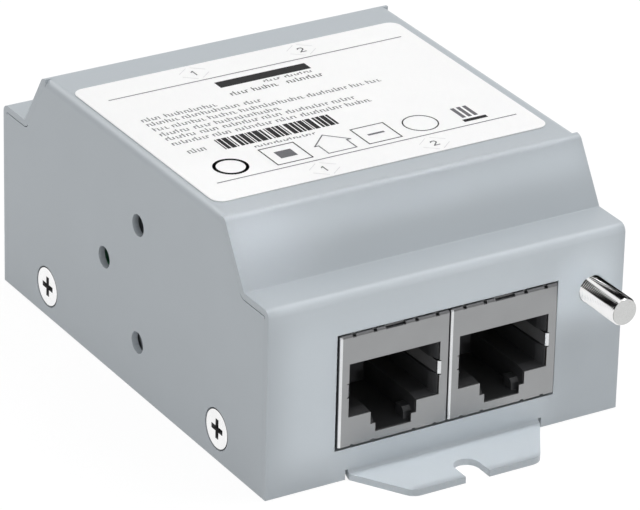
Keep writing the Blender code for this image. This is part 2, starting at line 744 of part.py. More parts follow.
def can_bmesh(inset, low):
    """Block of the socket's outer shape less an inset, with rounded front and top edges.

    The socket's own frame has its face on y = 0, its foot on z = 0 and x = 0 in its middle.
    """
    half = JACK_WIDTH / 2 - inset
    bm = bmesh.new()
    side = SHIELD_SIDE_RADIUS - inset
    corners = ((-half, inset), (half, inset), (half, JACK_DEPTH - inset), (-half, JACK_DEPTH - inset))
    outline = rounded_outline(corners, (side, side, 0, 0), SHIELD_SIDE_SEGMENTS)
    add_prism(bm, outline, along_z, low, JACK_HEIGHT - inset)
    top = JACK_HEIGHT - inset
    edges = [edge for edge in bm.edges if all(abs(vert.co.z - top) < TOLERANCE for vert in edge.verts)]
    radius = SHIELD_TOP_RADIUS - inset
    bmesh.ops.bevel(bm, geom=edges, offset=radius, segments=SHIELD_TOP_SEGMENTS, profile=0.5, affect='EDGES')
    return bm


def opening_outline():
    """Plug opening (x, z) of the shield, with the two steps of the latch channel."""
    right = [(OPENING_WIDTH / 2, OPENING_HIGH), (OPENING_WIDTH / 2, OPENING_LOW),
             (LATCH_WIDTH / 2, OPENING_LOW), (LATCH_WIDTH / 2, LATCH_LOW),
             (LATCH_FOOT_WIDTH / 2, LATCH_LOW), (LATCH_FOOT_WIDTH / 2, LATCH_FOOT)]
    return right + [(-x, z) for x, z in reversed(right)]


def finger_path():
    """Outer line (x, y) of the right spring finger, from the face round its bend and back."""
    root = OPENING_WIDTH / 2 - FINGER_REACH + FINGER_BEND
    start = (root + SHIELD_SHEET, 0)
    corner = (root - FINGER_BEND, 0)
    end = (root - FINGER_BEND - FINGER_LEAN, FINGER_LENGTH)
    return rounded_path((start, corner, end), (FINGER_BEND,), BEND_SEGMENTS)


def thick_outline(path, thickness):
    """Closed outline of a strip to the left of its path, or to the right if thickness is negative."""
    other = offset_path(path, -thickness)
    return list(path) + list(reversed(other))


def add_edge_cuts(bm):
    """Slits beside each finger, and notches in the top and bottom edges of the face."""
    near = -CUT_OVERRUN
    inner = OPENING_WIDTH / 2 - CUT_OVERRUN
    outer = OPENING_WIDTH / 2 - FINGER_REACH + FINGER_BEND
    low = FINGER_LOW - FINGER_SLIT
    high = FINGER_LOW + FINGER_WIDTH + FINGER_SLIT
    for side in (-1, 1):
        left, right = sorted((side * inner, side * outer))
        add_box(bm, (left, near, low), (right, FACE_CUT_DEPTH, high))
    top = JACK_HEIGHT + CUT_OVERRUN
    notches = [(x, NOTCH_WIDTH) for x in NOTCH_OFFSETS] + [(0.0, DASH_NOTCH_WIDTH)]
    for x, width in notches:
        add_box(bm, (x - width / 2, near, JACK_HEIGHT - NOTCH_DEPTH), (x + width / 2, NOTCH_WIDTH, top))
    half = NOTCH_WIDTH / 2
    for x in NOTCH_OFFSETS:
        add_box(bm, (x - half, near, -CUT_OVERRUN), (x + half, FACE_CUT_DEPTH, FOOT_NOTCH_RISE))


def shield_mesh():
    """Folded shield: face, top, sides and back, open underneath, with two spring fingers."""
    mesh = finish_mesh("jack_shield", can_bmesh(0, 0))
    mesh = combine("jack_shield", mesh, can_bmesh(SHIELD_SHEET, -CUT_OVERRUN), 'DIFFERENCE')
    cutters = bmesh.new()
    add_prism(cutters, opening_outline(), along_y, -CUT_OVERRUN, FACE_CUT_DEPTH)
    mesh = combine("jack_shield", mesh, cutters, 'DIFFERENCE')
    cutters = bmesh.new()
    add_edge_cuts(cutters)
    mesh = combine("jack_shield", mesh, cutters, 'DIFFERENCE')
    fingers = bmesh.new()
    outline = thick_outline(finger_path(), -SHIELD_SHEET)
    mirrored = [Vector((-point.x, point.y)) for point in outline]
    for shape in (outline, mirrored):
        add_prism(fingers, shape, along_z, FINGER_LOW, FINGER_LOW + FINGER_WIDTH)
    return smooth(combine("jack_shield", mesh, fingers, 'UNION'))


def insert_mesh():
    """Moulded insert: plug cavity with a lead-in, latch channel with catches, and contact bay."""
    front = SHIELD_SHEET + JACK_FIT_GAP
    half = JACK_WIDTH / 2 - front
    top = JACK_HEIGHT - front
    bm = bmesh.new()
    add_box(bm, (-half, front, 0), (half, INSERT_DEPTH, top))
    mesh = finish_mesh("jack_insert", bm)

    mouth = OPENING_WIDTH / 2
    plug = mouth - LEAD_IN_SIDE_STEP
    plug_low = OPENING_LOW + LEAD_IN_FLOOR_STEP
    cutters = bmesh.new()
    add_box(cutters, (-plug, front - CUT_OVERRUN, plug_low), (plug, PLUG_DEPTH, OPENING_HIGH))
    mesh = combine("jack_insert", mesh, cutters, 'DIFFERENCE')

    cutters = bmesh.new()
    lead_outer = ((-mouth, OPENING_LOW), (mouth, OPENING_LOW), (mouth, OPENING_HIGH), (-mouth, OPENING_HIGH))
    lead_inner = ((-plug, plug_low), (plug, plug_low), (plug, OPENING_HIGH), (-plug, OPENING_HIGH))
    add_loft(cutters, lead_outer, front - LEAD_IN_OVERRUN, lead_inner, front + LEAD_IN_DEPTH)
    mesh = combine("jack_insert", mesh, cutters, 'DIFFERENCE')

    cutters = bmesh.new()
    channel = LATCH_WIDTH / 2
    add_box(cutters, (-channel, front - CUT_OVERRUN, LATCH_FOOT),
            (channel, PLUG_DEPTH, plug_low + CUT_OVERLAP))
    mesh = combine("jack_insert", mesh, cutters, 'DIFFERENCE')

    cutters = bmesh.new()
    bay = CONTACT_BAY_WIDTH / 2
    add_box(cutters, (-bay, front + CONTACT_BAY_START, OPENING_HIGH - CUT_OVERLAP),
            (bay, INSERT_DEPTH + CUT_OVERRUN, OPENING_HIGH + CONTACT_BAY_RISE))
    mesh = combine("jack_insert", mesh, cutters, 'DIFFERENCE')

    cutters = bmesh.new()
    low = FINGER_LOW - FINGER_SLIT
    high = FINGER_LOW + FINGER_WIDTH + FINGER_SLIT
    for side in (-1, 1):
        left, right = sorted((side * (plug - CUT_OVERLAP), side * (half + CUT_OVERRUN)))
        add_box(cutters, (left, front - CUT_OVERRUN, low), (right, FINGER_LENGTH + SEAT_GAP, high))
    mesh = combine("jack_insert", mesh, cutters, 'DIFFERENCE')

    catches = bmesh.new()
    foot = LATCH_FOOT_WIDTH / 2 - CATCH_ROOT
    start = front + CATCH_START
    top = LATCH_FOOT + CATCH_RISE
    profile = ((start, LATCH_FOOT - CATCH_ROOT), (start + CATCH_LENGTH, LATCH_FOOT - CATCH_ROOT),
               (start + CATCH_LENGTH, top), (start + CATCH_CHAMFER, top), (start, top - CATCH_CHAMFER))
    for side in (-1, 1):
        left, right = sorted((side * foot, side * (channel + CATCH_ROOT)))
        add_prism(catches, profile, along_x, left, right)
    return combine("jack_insert", mesh, catches, 'UNION')


def add_loft(bm, near_outline, near, far_outline, far):
    """Closed solid between two outlines (x, z) with as many points, at two depths along Y."""
    rings = [[bm.verts.new(Vector((x, near, z))) for x, z in near_outline],
             [bm.verts.new(Vector((x, far, z))) for x, z in far_outline]]
    faces = [bm.faces.new(rings[0]), bm.faces.new(rings[1])]
    count = len(near_outline)
    for index in range(count):
        after = (index + 1) % count
        faces.append(bm.faces.new((rings[0][index], rings[0][after], rings[1][after], rings[1][index])))
    bmesh.ops.recalc_face_normals(bm, faces=faces)


def contacts_mesh():
    """Eight bent contact wires in an L-shaped carrier behind the insert."""
    carrier_front = INSERT_DEPTH + JACK_FIT_GAP
    carrier_back = JACK_DEPTH - SHIELD_SHEET - JACK_FIT_GAP
    arm_low = OPENING_HIGH + JACK_FIT_GAP
    arm_high = OPENING_HIGH + CONTACT_BAY_RISE - JACK_FIT_GAP
    half = CARRIER_WIDTH / 2
    profile = ((carrier_front - CARRIER_ARM, arm_low), (carrier_front, arm_low), (carrier_front, 0),
               (carrier_back, 0), (carrier_back, arm_high), (carrier_front - CARRIER_ARM, arm_high))
    bm = bmesh.new()
    add_prism(bm, profile, along_x, -half, half)
    mesh = finish_mesh("jack_contacts", bm)

    wire_z = (arm_low + arm_high) / 2 + CONTACT_THICKNESS
    hook_y = SHIELD_SHEET + JACK_FIT_GAP + CONTACT_BAY_START + CONTACT_THICKNESS
    corners = ((carrier_front - CARRIER_ARM / 2, wire_z), (hook_y, wire_z),
               (hook_y + CONTACT_REACH, wire_z - CONTACT_DROP))
    path = rounded_path(corners, (CONTACT_HOOK_RADIUS,), BEND_SEGMENTS)
    outline = thick_outline(path, CONTACT_THICKNESS)
    wires = bmesh.new()
    first = -CONTACT_PITCH * (CONTACT_COUNT - 1) / 2
    for index in range(CONTACT_COUNT):
        x = first + index * CONTACT_PITCH
        add_prism(wires, outline, along_x, x - CONTACT_WIDTH / 2, x + CONTACT_WIDTH / 2)
    return combine("jack_contacts", mesh, wires, 'UNION')


def make_jacks(shield, plastic, contact):
    meshes = (("jack_shield_", shield_mesh(), shield),
              ("jack_insert_", insert_mesh(), plastic),
              ("jack_contacts_", contacts_mesh(), contact))
    for name, x, y, turn in jack_centres():
        for prefix, mesh, material in meshes:
            place_part(prefix + name, mesh, material, (x, y, JACK_BASE), (0, 0, turn))


def make_tubes(material):
    """Gas discharge tubes, ceramic between two metal caps, lying along Y."""
    radius = TUBE_DIAMETER / 2
    waist = TUBE_WAIST / 2
    half = ((radius - TUBE_CHAMFER, 0), (radius, TUBE_CHAMFER), (radius, TUBE_CAP), (waist, TUBE_CAP))
    profile = half + tuple((r, TUBE_LENGTH - z) for r, z in reversed(half))
    bm = bmesh.new()
    add_turned(bm, profile, SMALL_ROUND_SEGMENTS)
    mesh = smooth(finish_mesh("discharge_tube", bm))
    first = -TUBE_PITCH * (TUBES_IN_ROW - 1) / 2
    z = BOARD_TOP + SEAT_GAP + radius
    for end, y in (("front", -TUBE_ROW_Y), ("rear", TUBE_ROW_Y)):
        for index in range(TUBES_IN_ROW):
            name = "discharge_tube_{}_{}".format(end, index + 1)
            x = first + index * TUBE_PITCH
            place_part(name, mesh, material, (x, y - TUBE_LENGTH / 2, z), (-math.pi / 2, 0, 0))


def make_arrays(material):
    """Diode arrays under the board: a moulded body with bent leads along two sides."""
    half_x, half_y = ARRAY_WIDTH / 2, ARRAY_LENGTH / 2
    lift = ARRAY_LEAD_THICKNESS
    bm = bmesh.new()
    add_box(bm, (-half_x, -half_y, lift), (half_x, half_y, ARRAY_HEIGHT))
    mesh = finish_mesh("diode_array", bm)
    leads = bmesh.new()
    shoulder = ARRAY_HEIGHT / 2
    for side in (-1, 1):
        root = side * (half_y - ARRAY_LEAD_REACH / 2)
        knee = side * (half_y + ARRAY_LEAD_REACH / 2)
        toe = side * (half_y + ARRAY_LEAD_REACH)
        path = [(root, shoulder), (knee, shoulder), (knee, 0), (toe, 0)]
        outline = thick_outline([Vector(point) for point in path], side * ARRAY_LEAD_THICKNESS)
        for index in range(ARRAY_LEADS):
            x = (index - (ARRAY_LEADS - 1) / 2) * ARRAY_LEAD_PITCH
            add_prism(leads, outline, along_x, x - ARRAY_LEAD_WIDTH / 2, x + ARRAY_LEAD_WIDTH / 2)
    mesh = combine("diode_array", mesh, leads, 'UNION')
    z = BOARD_BOTTOM - SEAT_GAP
    for end, y in (("front", -ARRAY_Y), ("rear", ARRAY_Y)):
        for side, x in (("left", -ARRAY_X), ("right", ARRAY_X)):
            place_part("diode_array_{}_{}".format(end, side), mesh, material, (x, y, z), (math.pi, 0, 0))


def main():
    clear_scene()
    paint = make_material("painted_steel", (0.50, 0.53, 0.58), 0.45, 0.0)
    make_housing(paint)
    make_tray(make_material("zinc_steel", (0.60, 0.61, 0.62), 0.40, 1.0))
    make_side_screws(make_material("screw_steel", (0.80, 0.80, 0.80), 0.22, 1.0))
    make_stud(make_material("stud_nickel", (0.86, 0.86, 0.86), 0.12, 1.0))
    make_label(make_material("label_film", (0.93, 0.93, 0.93), 0.45, 0.0))
    make_board(make_material("board_laminate", (0.03, 0.20, 0.09), 0.45, 0.0))
    make_standoffs(make_material("standoff_brass", (0.72, 0.62, 0.40), 0.30, 1.0))
    make_board_screws(make_material("board_screw_steel", (0.75, 0.75, 0.76), 0.28, 1.0))
    make_jacks(make_material("shield_steel", (0.34, 0.345, 0.35), 0.32, 1.0),
               make_material("insert_plastic", (0.015, 0.015, 0.017), 0.45, 0.0),
               make_material("contact_gold", (0.83, 0.63, 0.28), 0.25, 1.0))
    make_tubes(make_material("tube_ceramic", (0.85, 0.83, 0.80), 0.35, 0.0))
    make_arrays(make_material("array_epoxy", (0.03, 0.03, 0.03), 0.50, 0.0))


main()
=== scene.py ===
"""Looks of the ethernet surge protector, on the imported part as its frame.

Metres, +Z up. The origin is on the bottom plane in the middle of the body, the front faces -Y.
"""

import math

import bmesh
import bpy
from mathutils import Matrix, Vector


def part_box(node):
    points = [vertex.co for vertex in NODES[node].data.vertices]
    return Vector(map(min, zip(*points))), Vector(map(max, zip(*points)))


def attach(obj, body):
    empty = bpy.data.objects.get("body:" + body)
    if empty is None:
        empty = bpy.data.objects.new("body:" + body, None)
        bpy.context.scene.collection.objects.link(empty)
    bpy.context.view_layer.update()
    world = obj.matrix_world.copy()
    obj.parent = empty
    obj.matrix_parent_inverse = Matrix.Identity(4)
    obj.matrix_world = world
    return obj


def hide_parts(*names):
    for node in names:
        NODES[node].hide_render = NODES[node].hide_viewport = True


MM = 0.001

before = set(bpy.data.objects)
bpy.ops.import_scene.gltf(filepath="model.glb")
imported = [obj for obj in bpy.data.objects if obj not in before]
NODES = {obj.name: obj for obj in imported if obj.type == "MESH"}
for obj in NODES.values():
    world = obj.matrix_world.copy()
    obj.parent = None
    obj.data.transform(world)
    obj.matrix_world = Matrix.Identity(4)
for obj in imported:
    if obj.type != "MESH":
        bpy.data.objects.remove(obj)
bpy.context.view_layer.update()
CORNERS = ("front_left", "front_right", "rear_left", "rear_right")

# Values shared with the part's source
BODY_LENGTH = 69.5 * MM
JACK_STANDS_OUT = 0.45 * MM
JACK_FACE = BODY_LENGTH / 2 + JACK_STANDS_OUT
STUD_RADIUS = 1.9 * MM
STUD_HEAD_THICKNESS = 1.0 * MM
LABEL_CORNER_RADIUS = 1.6 * MM
BODY_WIDTH = 52.0 * MM
TOP_HEIGHT = 34.0 * MM
SHOULDER_HEIGHT = 26.0 * MM
SHOULDER_DEPTH = 6.0 * MM
SLOPE_RUN = 5.0 * MM
BEND_RADIUS = 1.1 * MM

# Paint in the corner seams: the seam's middle below the outer surface, how far the paint reaches to
# either side of it, how far it is sunk and how deep it reaches below the side wall's surface
SEAM_DEPTH = 0.96 * MM
PAINT_REACH = 0.26 * MM
PAINT_SUNK = 0.01 * MM
PAINT_DEPTH = 0.25 * MM

# Its start, end and tip down the slope, and its foot, end and tip up the end wall
SLOPE_PAINT = (0.45 * MM, 9.2 * MM, 9.4 * MM)
WALL_PAINT = (0.1 * MM, 24.5 * MM, 24.7 * MM)

# Paint in the notch at the head of each slope: its ends along the body, how far it laps down the side
# wall and onto the top, and how deep it reaches
NOTCH_START = -22.97 * MM
NOTCH_END = -22.55 * MM
NOTCH_SIDE_LAP = 0.3 * MM
NOTCH_TOP_LAP = 0.2 * MM
NOTCH_DEPTH = 0.3 * MM

# Camera of the photograph
EYE = Vector((-286.904, -473.125, 283.897)) * MM
RIGHT = Vector((0.85877752, -0.51184566, 0.02269785))
DOWN = Vector((-0.20784041, -0.38852406, -0.89769227))
FORWARD = Vector((0.46829856, 0.76620041, -0.44003794))
FOCAL_PIXELS = 4737.5
FRAME_WIDTH = 640
SENSOR = 36.0


# Materials

# Range that the noise is spread from
NOISE_LOW = 0.3
NOISE_HIGH = 0.7

# Scale of the pattern of traces on the board
TRACES_PER_METRE = 140


def new_material(name):
    material = bpy.data.materials.new(name)
    material.use_nodes = True
    return material, material.node_tree


def shader_of(tree):
    return tree.nodes["Principled BSDF"]


def add_node(tree, kind, **settings):
    node = tree.nodes.new(kind)
    for key, value in settings.items():
        setattr(node, key, value)
    return node


def object_coordinates(tree):
    found = tree.nodes.get("Coordinates")
    if found is None:
        found = add_node(tree, "ShaderNodeTexCoord")
        found.name = "Coordinates"
    return found.outputs["Object"]


def noise(tree, size, detail=3.0, roughness=0.5, stretch=(1, 1, 1)):
    """Noise whose features are about size metres across. stretch makes them longer along an axis."""
    texture = add_node(tree, "ShaderNodeTexNoise")
    texture.inputs["Scale"].default_value = 1.0
    texture.inputs["Detail"].default_value = detail
    texture.inputs["Roughness"].default_value = roughness
    mapping = add_node(tree, "ShaderNodeMapping")
    mapping.inputs["Scale"].default_value = [1.0 / (size * s) for s in stretch]
    tree.links.new(object_coordinates(tree), mapping.inputs["Vector"])
    tree.links.new(mapping.outputs["Vector"], texture.inputs["Vector"])
    return texture.outputs["Fac"]


def spread_noise(tree, source, out_low, out_high):
    """Noise spread over a range of its own."""
    node = add_node(tree, "ShaderNodeMapRange")
    node.inputs["From Min"].default_value = NOISE_LOW
    node.inputs["From Max"].default_value = NOISE_HIGH
    node.inputs["To Min"].default_value = out_low
    node.inputs["To Max"].default_value = out_high
    tree.links.new(source, node.inputs["Value"])
    return node.outputs["Result"]


def mix_colours(tree, factor, first, second):
    """Colour between two colours or sockets, by a factor socket."""
    node = add_node(tree, "ShaderNodeMix", data_type='RGBA')
    tree.links.new(factor, node.inputs["Factor"])
    for socket, value in ((node.inputs["A"], first), (node.inputs["B"], second)):
        if isinstance(value, bpy.types.NodeSocket):
            tree.links.new(value, socket)
        else:
            socket.default_value = (*value, 1.0)
    return node.outputs["Result"]


def add_bump(tree, height, distance):
    """Bump on top of the bumps that the shader has already."""
    node = add_node(tree, "ShaderNodeBump")
    node.inputs["Strength"].default_value = 1.0
    node.inputs["Distance"].default_value = distance
    tree.links.new(height, node.inputs["Height"])
    socket = shader_of(tree).inputs["Normal"]
    if socket.is_linked:
        tree.links.new(socket.links[0].from_socket, node.inputs["Normal"])
    tree.links.new(node.outputs["Normal"], socket)


def scaled(colour, factor):
    return tuple(min(1.0, channel * factor) for channel in colour)


def varied(name, colour, roughness, metallic=0.0, spread=0.03, patch=8 * MM,
           rough_spread=0.04, grain=0.3 * MM, depth=0.002 * MM, stretch=(1, 1, 1), specular=0.5):
    """Material whose colour, roughness and surface vary a little, at the real scale."""
    material, tree = new_material(name)
    shader = shader_of(tree)
    shader.inputs["Metallic"].default_value = metallic
    shader.inputs["Specular IOR Level"].default_value = specular
    broad = noise(tree, patch, detail=2.0)
    tint = mix_colours(tree, spread_noise(tree, broad, 0.0, 1.0),
                       scaled(colour, 1 - spread), scaled(colour, 1 + spread))
    tree.links.new(tint, shader.inputs["Base Color"])
    fine = noise(tree, grain, detail=4.0, roughness=0.6, stretch=stretch)
    rough = spread_noise(tree, fine, roughness - rough_spread, roughness + rough_spread)
    tree.links.new(rough, shader.inputs["Roughness"])
    add_bump(tree, fine, depth)
    return material


def paint_material():
    """Satin powder coat with a faint orange peel and fine speckle."""
    material = varied("painted_steel", (0.474, 0.516, 0.550), 0.38, spread=0.012, patch=14 * MM,
                      rough_spread=0.05, grain=0.16 * MM, depth=0.0015 * MM)
    peel = noise(material.node_tree, 0.9 * MM, detail=1.0)
    add_bump(material.node_tree, peel, 0.004 * MM)
    return material


def brushed(name, colour, roughness, stretch, spread=0.05):
    """Bare metal whose grain runs along one axis."""
    return varied(name, colour, roughness, metallic=1.0, spread=spread, patch=5 * MM,
                  rough_spread=0.05, grain=0.12 * MM, depth=0.0012 * MM, stretch=stretch)


def board_material():
    """Green solder mask over traces, seen as slightly raised paler lines."""
    material, tree = new_material("board_laminate")
    shader = shader_of(tree)
    bricks = add_node(tree, "ShaderNodeTexBrick", offset=0.35, squash=0.6, squash_frequency=3)
    bricks.inputs["Scale"].default_value = 1.0
    bricks.inputs["Mortar Size"].default_value = 0.035
    bricks.inputs["Brick Width"].default_value = 0.9
    bricks.inputs["Row Height"].default_value = 0.31
    mapping = add_node(tree, "ShaderNodeMapping")
    mapping.inputs["Scale"].default_value = (TRACES_PER_METRE,) * 3
    tree.links.new(object_coordinates(tree), mapping.inputs["Vector"])
    tree.links.new(mapping.outputs["Vector"], bricks.inputs["Vector"])
    tone = mix_colours(tree, bricks.outputs["Fac"], (0.012, 0.115, 0.050), (0.030, 0.210, 0.090))
    speckle = noise(tree, 0.4 * MM)
    tone = mix_colours(tree, spread_noise(tree, speckle, 0.0, 0.25), tone, (0.020, 0.150, 0.060))
    tree.links.new(tone, shader.inputs["Base Color"])
    tree.links.new(spread_noise(tree, speckle, 0.28, 0.42), shader.inputs["Roughness"])
    add_bump(tree, bricks.outputs["Fac"], 0.02 * MM)
    return material


MATERIALS = {
    "paint": paint_material(),
    "zinc": brushed("zinc_steel", (0.56, 0.57, 0.58), 0.38, (6, 1, 1)),
    "screw": varied("screw_steel", (0.93, 0.93, 0.93), 0.20, metallic=1.0, spread=0.02, patch=1.5 * MM,
                    grain=0.08 * MM, depth=0.0005 * MM, rough_spread=0.05),
    # Painted shade and painted shadow: near-black laid in the screws' cross recesses and round the rims of
    # their heads
    "recess": varied("recess_shadow", (0.05, 0.05, 0.052), 0.5, metallic=0.6, patch=0.6 * MM, grain=0.1 * MM),
    "stud": varied("stud_nickel", (0.86, 0.86, 0.86), 0.08, metallic=1.0, spread=0.02, patch=1.5 * MM,
                   grain=0.1 * MM, depth=0.0004 * MM, rough_spread=0.03),
    "stud_end": varied("stud_cut_end", (0.60, 0.605, 0.60), 0.26, metallic=1.0, spread=0.02, patch=1.5 * MM,
                       grain=0.1 * MM, depth=0.0006 * MM, rough_spread=0.04),
    "film": varied("label_film", (0.97, 0.97, 0.97), 0.42, spread=0.01, patch=6 * MM,
                   grain=0.25 * MM, depth=0.001 * MM, specular=1.0),
    "ink": varied("label_ink", (0.012, 0.012, 0.013), 0.6, spread=0.25, patch=0.5 * MM,
                  grain=0.08 * MM, depth=0.0005 * MM, specular=0.15),
    "grey_ink": varied("label_grey_ink", (0.13, 0.13, 0.14), 0.6, spread=0.08, patch=0.5 * MM,
                       grain=0.08 * MM, depth=0.0005 * MM, specular=0.3),
    "pale_ink": varied("label_pale_ink", (0.74, 0.74, 0.75), 0.5, spread=0.04, patch=0.5 * MM,
                       grain=0.08 * MM, depth=0.0005 * MM),
    "board": board_material(),
    "brass": brushed("standoff_brass", (0.72, 0.55, 0.28), 0.28, (1, 1, 5)),
    "board_screw": brushed("board_screw_steel", (0.70, 0.70, 0.71), 0.28, (1, 1, 1)),
    "shield": brushed("shield_steel", (0.33, 0.335, 0.34), 0.34, (7, 7, 1), spread=0.03),
    # Painted highlight: a pale copy of the shield's steel, laid on the front bends that face one side
    "shield_bend_painted_highlight": brushed("shield_painted_highlight_steel", (0.74, 0.75, 0.76), 0.30, (1, 1, 8)),
    # Darker, duller steel of the fingers inside the opening, also laid on the shield's top faces at the front
    # as painted shade of the gap above them
    "finger": varied("shield_finger_steel", (0.17, 0.17, 0.175), 0.5, metallic=0.4, spread=0.08, patch=2 * MM,
                     grain=0.12 * MM, depth=0.001 * MM),
    "plastic": varied("insert_plastic", (0.030, 0.031, 0.033), 0.42, spread=0.15, patch=3 * MM,
                      grain=0.15 * MM, depth=0.002 * MM),
    # Painted light: a lighter copy of the insert's plastic on the lead-in slopes at the mouth, against the
    # shaded inside
    "lead_in_painted_light": varied("insert_lead_in_painted_light", (0.050, 0.051, 0.054), 0.40, spread=0.10, patch=1.5 * MM,
                      grain=0.12 * MM, depth=0.002 * MM),
    "gold": varied("contact_gold", (0.83, 0.60, 0.25), 0.22, metallic=1.0, spread=0.05, patch=1 * MM,
                   grain=0.08 * MM, depth=0.0005 * MM),
    "ceramic": varied("tube_ceramic", (0.82, 0.80, 0.76), 0.35, spread=0.04, patch=2 * MM,
                      grain=0.15 * MM, depth=0.001 * MM),
    "cap": brushed("tube_cap_steel", (0.62, 0.62, 0.63), 0.25, (1, 6, 1)),
    "epoxy": varied("array_epoxy", (0.025, 0.025, 0.027), 0.48, spread=0.2, patch=1 * MM,
                    grain=0.12 * MM, depth=0.003 * MM),
    "lead": brushed("array_lead_steel", (0.66, 0.66, 0.67), 0.25, (1, 6, 1)),
}


# Pieces from the frame's own nodes

# How near two corners of a node are merged, and the angle in degrees up to which its neighbouring
# facets become one face, and from which an edge counts as sharp
MERGE_DISTANCE = 0.002 * MM
FACET_ANGLE = 0.4
SHARP_ANGLE = 30

# Steps of a quarter turn in a rounded corner
CORNER_STEPS = 8


def set_materials(mesh, materials, chooser=None):
    """Gives the mesh its material slots. chooser(centre, normal) returns a face's slot number."""
    mesh.materials.clear()
    for material in materials:
        mesh.materials.append(material)
    for polygon in mesh.polygons:
        polygon.material_index = chooser(polygon.center, polygon.normal) if chooser else 0


def finish_mesh(name, bm):
    mesh = bpy.data.meshes.new(name)
    bm.to_mesh(mesh)
    bm.free()
    return mesh


def add_piece(name, mesh, materials, nodes=(), chooser=None, angle=SHARP_ANGLE):
    """Finished piece that rides on the body and stands for the nodes named."""
    set_materials(mesh, materials, chooser)
    mesh.shade_smooth()
    mesh.set_sharp_from_angle(angle=math.radians(angle))
    piece = bpy.data.objects.new(name, mesh)
    bpy.context.scene.collection.objects.link(piece)
    weighted = piece.modifiers.new("flat_faces", 'WEIGHTED_NORMAL')
    weighted.keep_sharp = True
    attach(piece, "root")
    if nodes:
        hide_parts(*nodes)


def dressed(node, name, materials, bevel=0.0, chooser=None, angle=SHARP_ANGLE):
    """Copy of a node's form with its cut edges broken and its bends shaded smooth, standing for it."""
    bm = bmesh.new()
    bm.from_mesh(NODES[node].data)
    bmesh.ops.remove_doubles(bm, verts=bm.verts, dist=MERGE_DISTANCE)
    bmesh.ops.dissolve_limit(bm, angle_limit=math.radians(FACET_ANGLE), verts=bm.verts, edges=bm.edges)
    if bevel:
        sharp = [edge for edge in bm.edges
                 if edge.is_manifold and edge.calc_face_angle() > math.radians(angle)]
        bmesh.ops.bevel(bm, geom=sharp, offset=bevel, segments=2, profile=0.5,
                        affect='EDGES', clamp_overlap=True)
    add_piece(name, finish_mesh(name, bm), materials, (node,), chooser, angle)


def add_prism(bm, outline, low, high):
    """Closed upright prism of a plan outline."""
    lower = [bm.verts.new((x, y, low)) for x, y in outline]
    upper = [bm.verts.new((x, y, high)) for x, y in outline]
    faces = [bm.faces.new(list(reversed(lower))), bm.faces.new(upper)]
    count = len(outline)
    for index in range(count):
        after = (index + 1) % count
        faces.append(bm.faces.new((lower[index], lower[after], upper[after], upper[index])))
    bmesh.ops.recalc_face_normals(bm, faces=faces)
    return faces


def rounded_rectangle(x0, x1, y0, y1, radius):
    outline = []
    for cx, cy, start in ((x1 - radius, y1 - radius, 0), (x0 + radius, y1 - radius, 90),
                          (x0 + radius, y0 + radius, 180), (x1 - radius, y0 + radius, 270)):
        for step in range(CORNER_STEPS + 1):
            turn = math.radians(start + 90 * step / CORNER_STEPS)
            outline.append((cx + radius * math.cos(turn), cy + radius * math.sin(turn)))
    return outline


def make_housing():
    dressed("housing", "housing_shell", [MATERIALS["paint"]], bevel=0.07 * MM)
    dressed("base_tray", "tray_shell", [MATERIALS["zinc"]], bevel=0.06 * MM)


def move_faces(faces, moved):
    """Moves every corner of the faces to where moved puts it."""
    for vert in {vert for face in faces for vert in face.verts}:
        vert.co = moved(vert.co)


def make_seam_paint():
    """Paint that bridges the corner seams along the slopes and the end walls.

    At the shoulders the seams stay open.
    """
    half, wall = BODY_WIDTH / 2, -BODY_LENGTH / 2
    start = Vector((wall + SHOULDER_DEPTH + SLOPE_RUN, TOP_HEIGHT))
    end = Vector((wall + SHOULDER_DEPTH, SHOULDER_HEIGHT))
    along = (end - start).normalized()
    inward = Vector((-along.y, along.x))
    near, far = SEAM_DEPTH - PAINT_REACH, SEAM_DEPTH + PAINT_REACH

    def on_slope(run, depth):
        point = start + along * run + inward * depth
        return point.x, point.y

    head, last, tip = SLOPE_PAINT
    slope = [on_slope(head, near), on_slope(last, near), on_slope(tip, SEAM_DEPTH),
             on_slope(last, far), on_slope(head, far)]
    foot, last, tip = WALL_PAINT
    upright = [(wall + near, last), (wall + SEAM_DEPTH, tip), (wall + far, last),
               (wall + far, foot), (wall + near, foot)]
    middle = Vector((half - BEND_RADIUS, TOP_HEIGHT - BEND_RADIUS))
    outer = BEND_RADIUS - PAINT_SUNK
    arc = [middle + outer * Vector((math.cos(turn), math.sin(turn)))
           for turn in (math.pi / 2 * step / CORNER_STEPS for step in range(CORNER_STEPS + 1))]
    side_end, top_end = middle.y - NOTCH_SIDE_LAP, middle.x - NOTCH_TOP_LAP
    bend = [(half - PAINT_SUNK, side_end)] + [tuple(point) for point in arc]
    bend += [(top_end, TOP_HEIGHT - PAINT_SUNK), (top_end, TOP_HEIGHT - NOTCH_DEPTH),
             (middle.x, TOP_HEIGHT - NOTCH_DEPTH), (half - NOTCH_DEPTH, middle.y),
             (half - NOTCH_DEPTH, side_end)]
    for corner in CORNERS:
        x_side = -1 if corner.endswith("left") else 1
        y_side = 1 if corner.startswith("front") else -1
        bm = bmesh.new()
        for outline in (slope, upright):
            faces = add_prism(bm, outline, half - PAINT_DEPTH, half - PAINT_SUNK)
            move_faces(faces, lambda co: Vector((co.z * x_side, co.x * y_side, co.y)))
        faces = add_prism(bm, bend, NOTCH_START, NOTCH_END)
        move_faces(faces, lambda co: Vector((co.x * x_side, co.z * y_side, co.y)))
        bmesh.ops.recalc_face_normals(bm, faces=bm.faces)
        name = "seam_paint_" + corner
        add_piece(name, finish_mesh(name, bm), [MATERIALS["paint"]], angle=40)


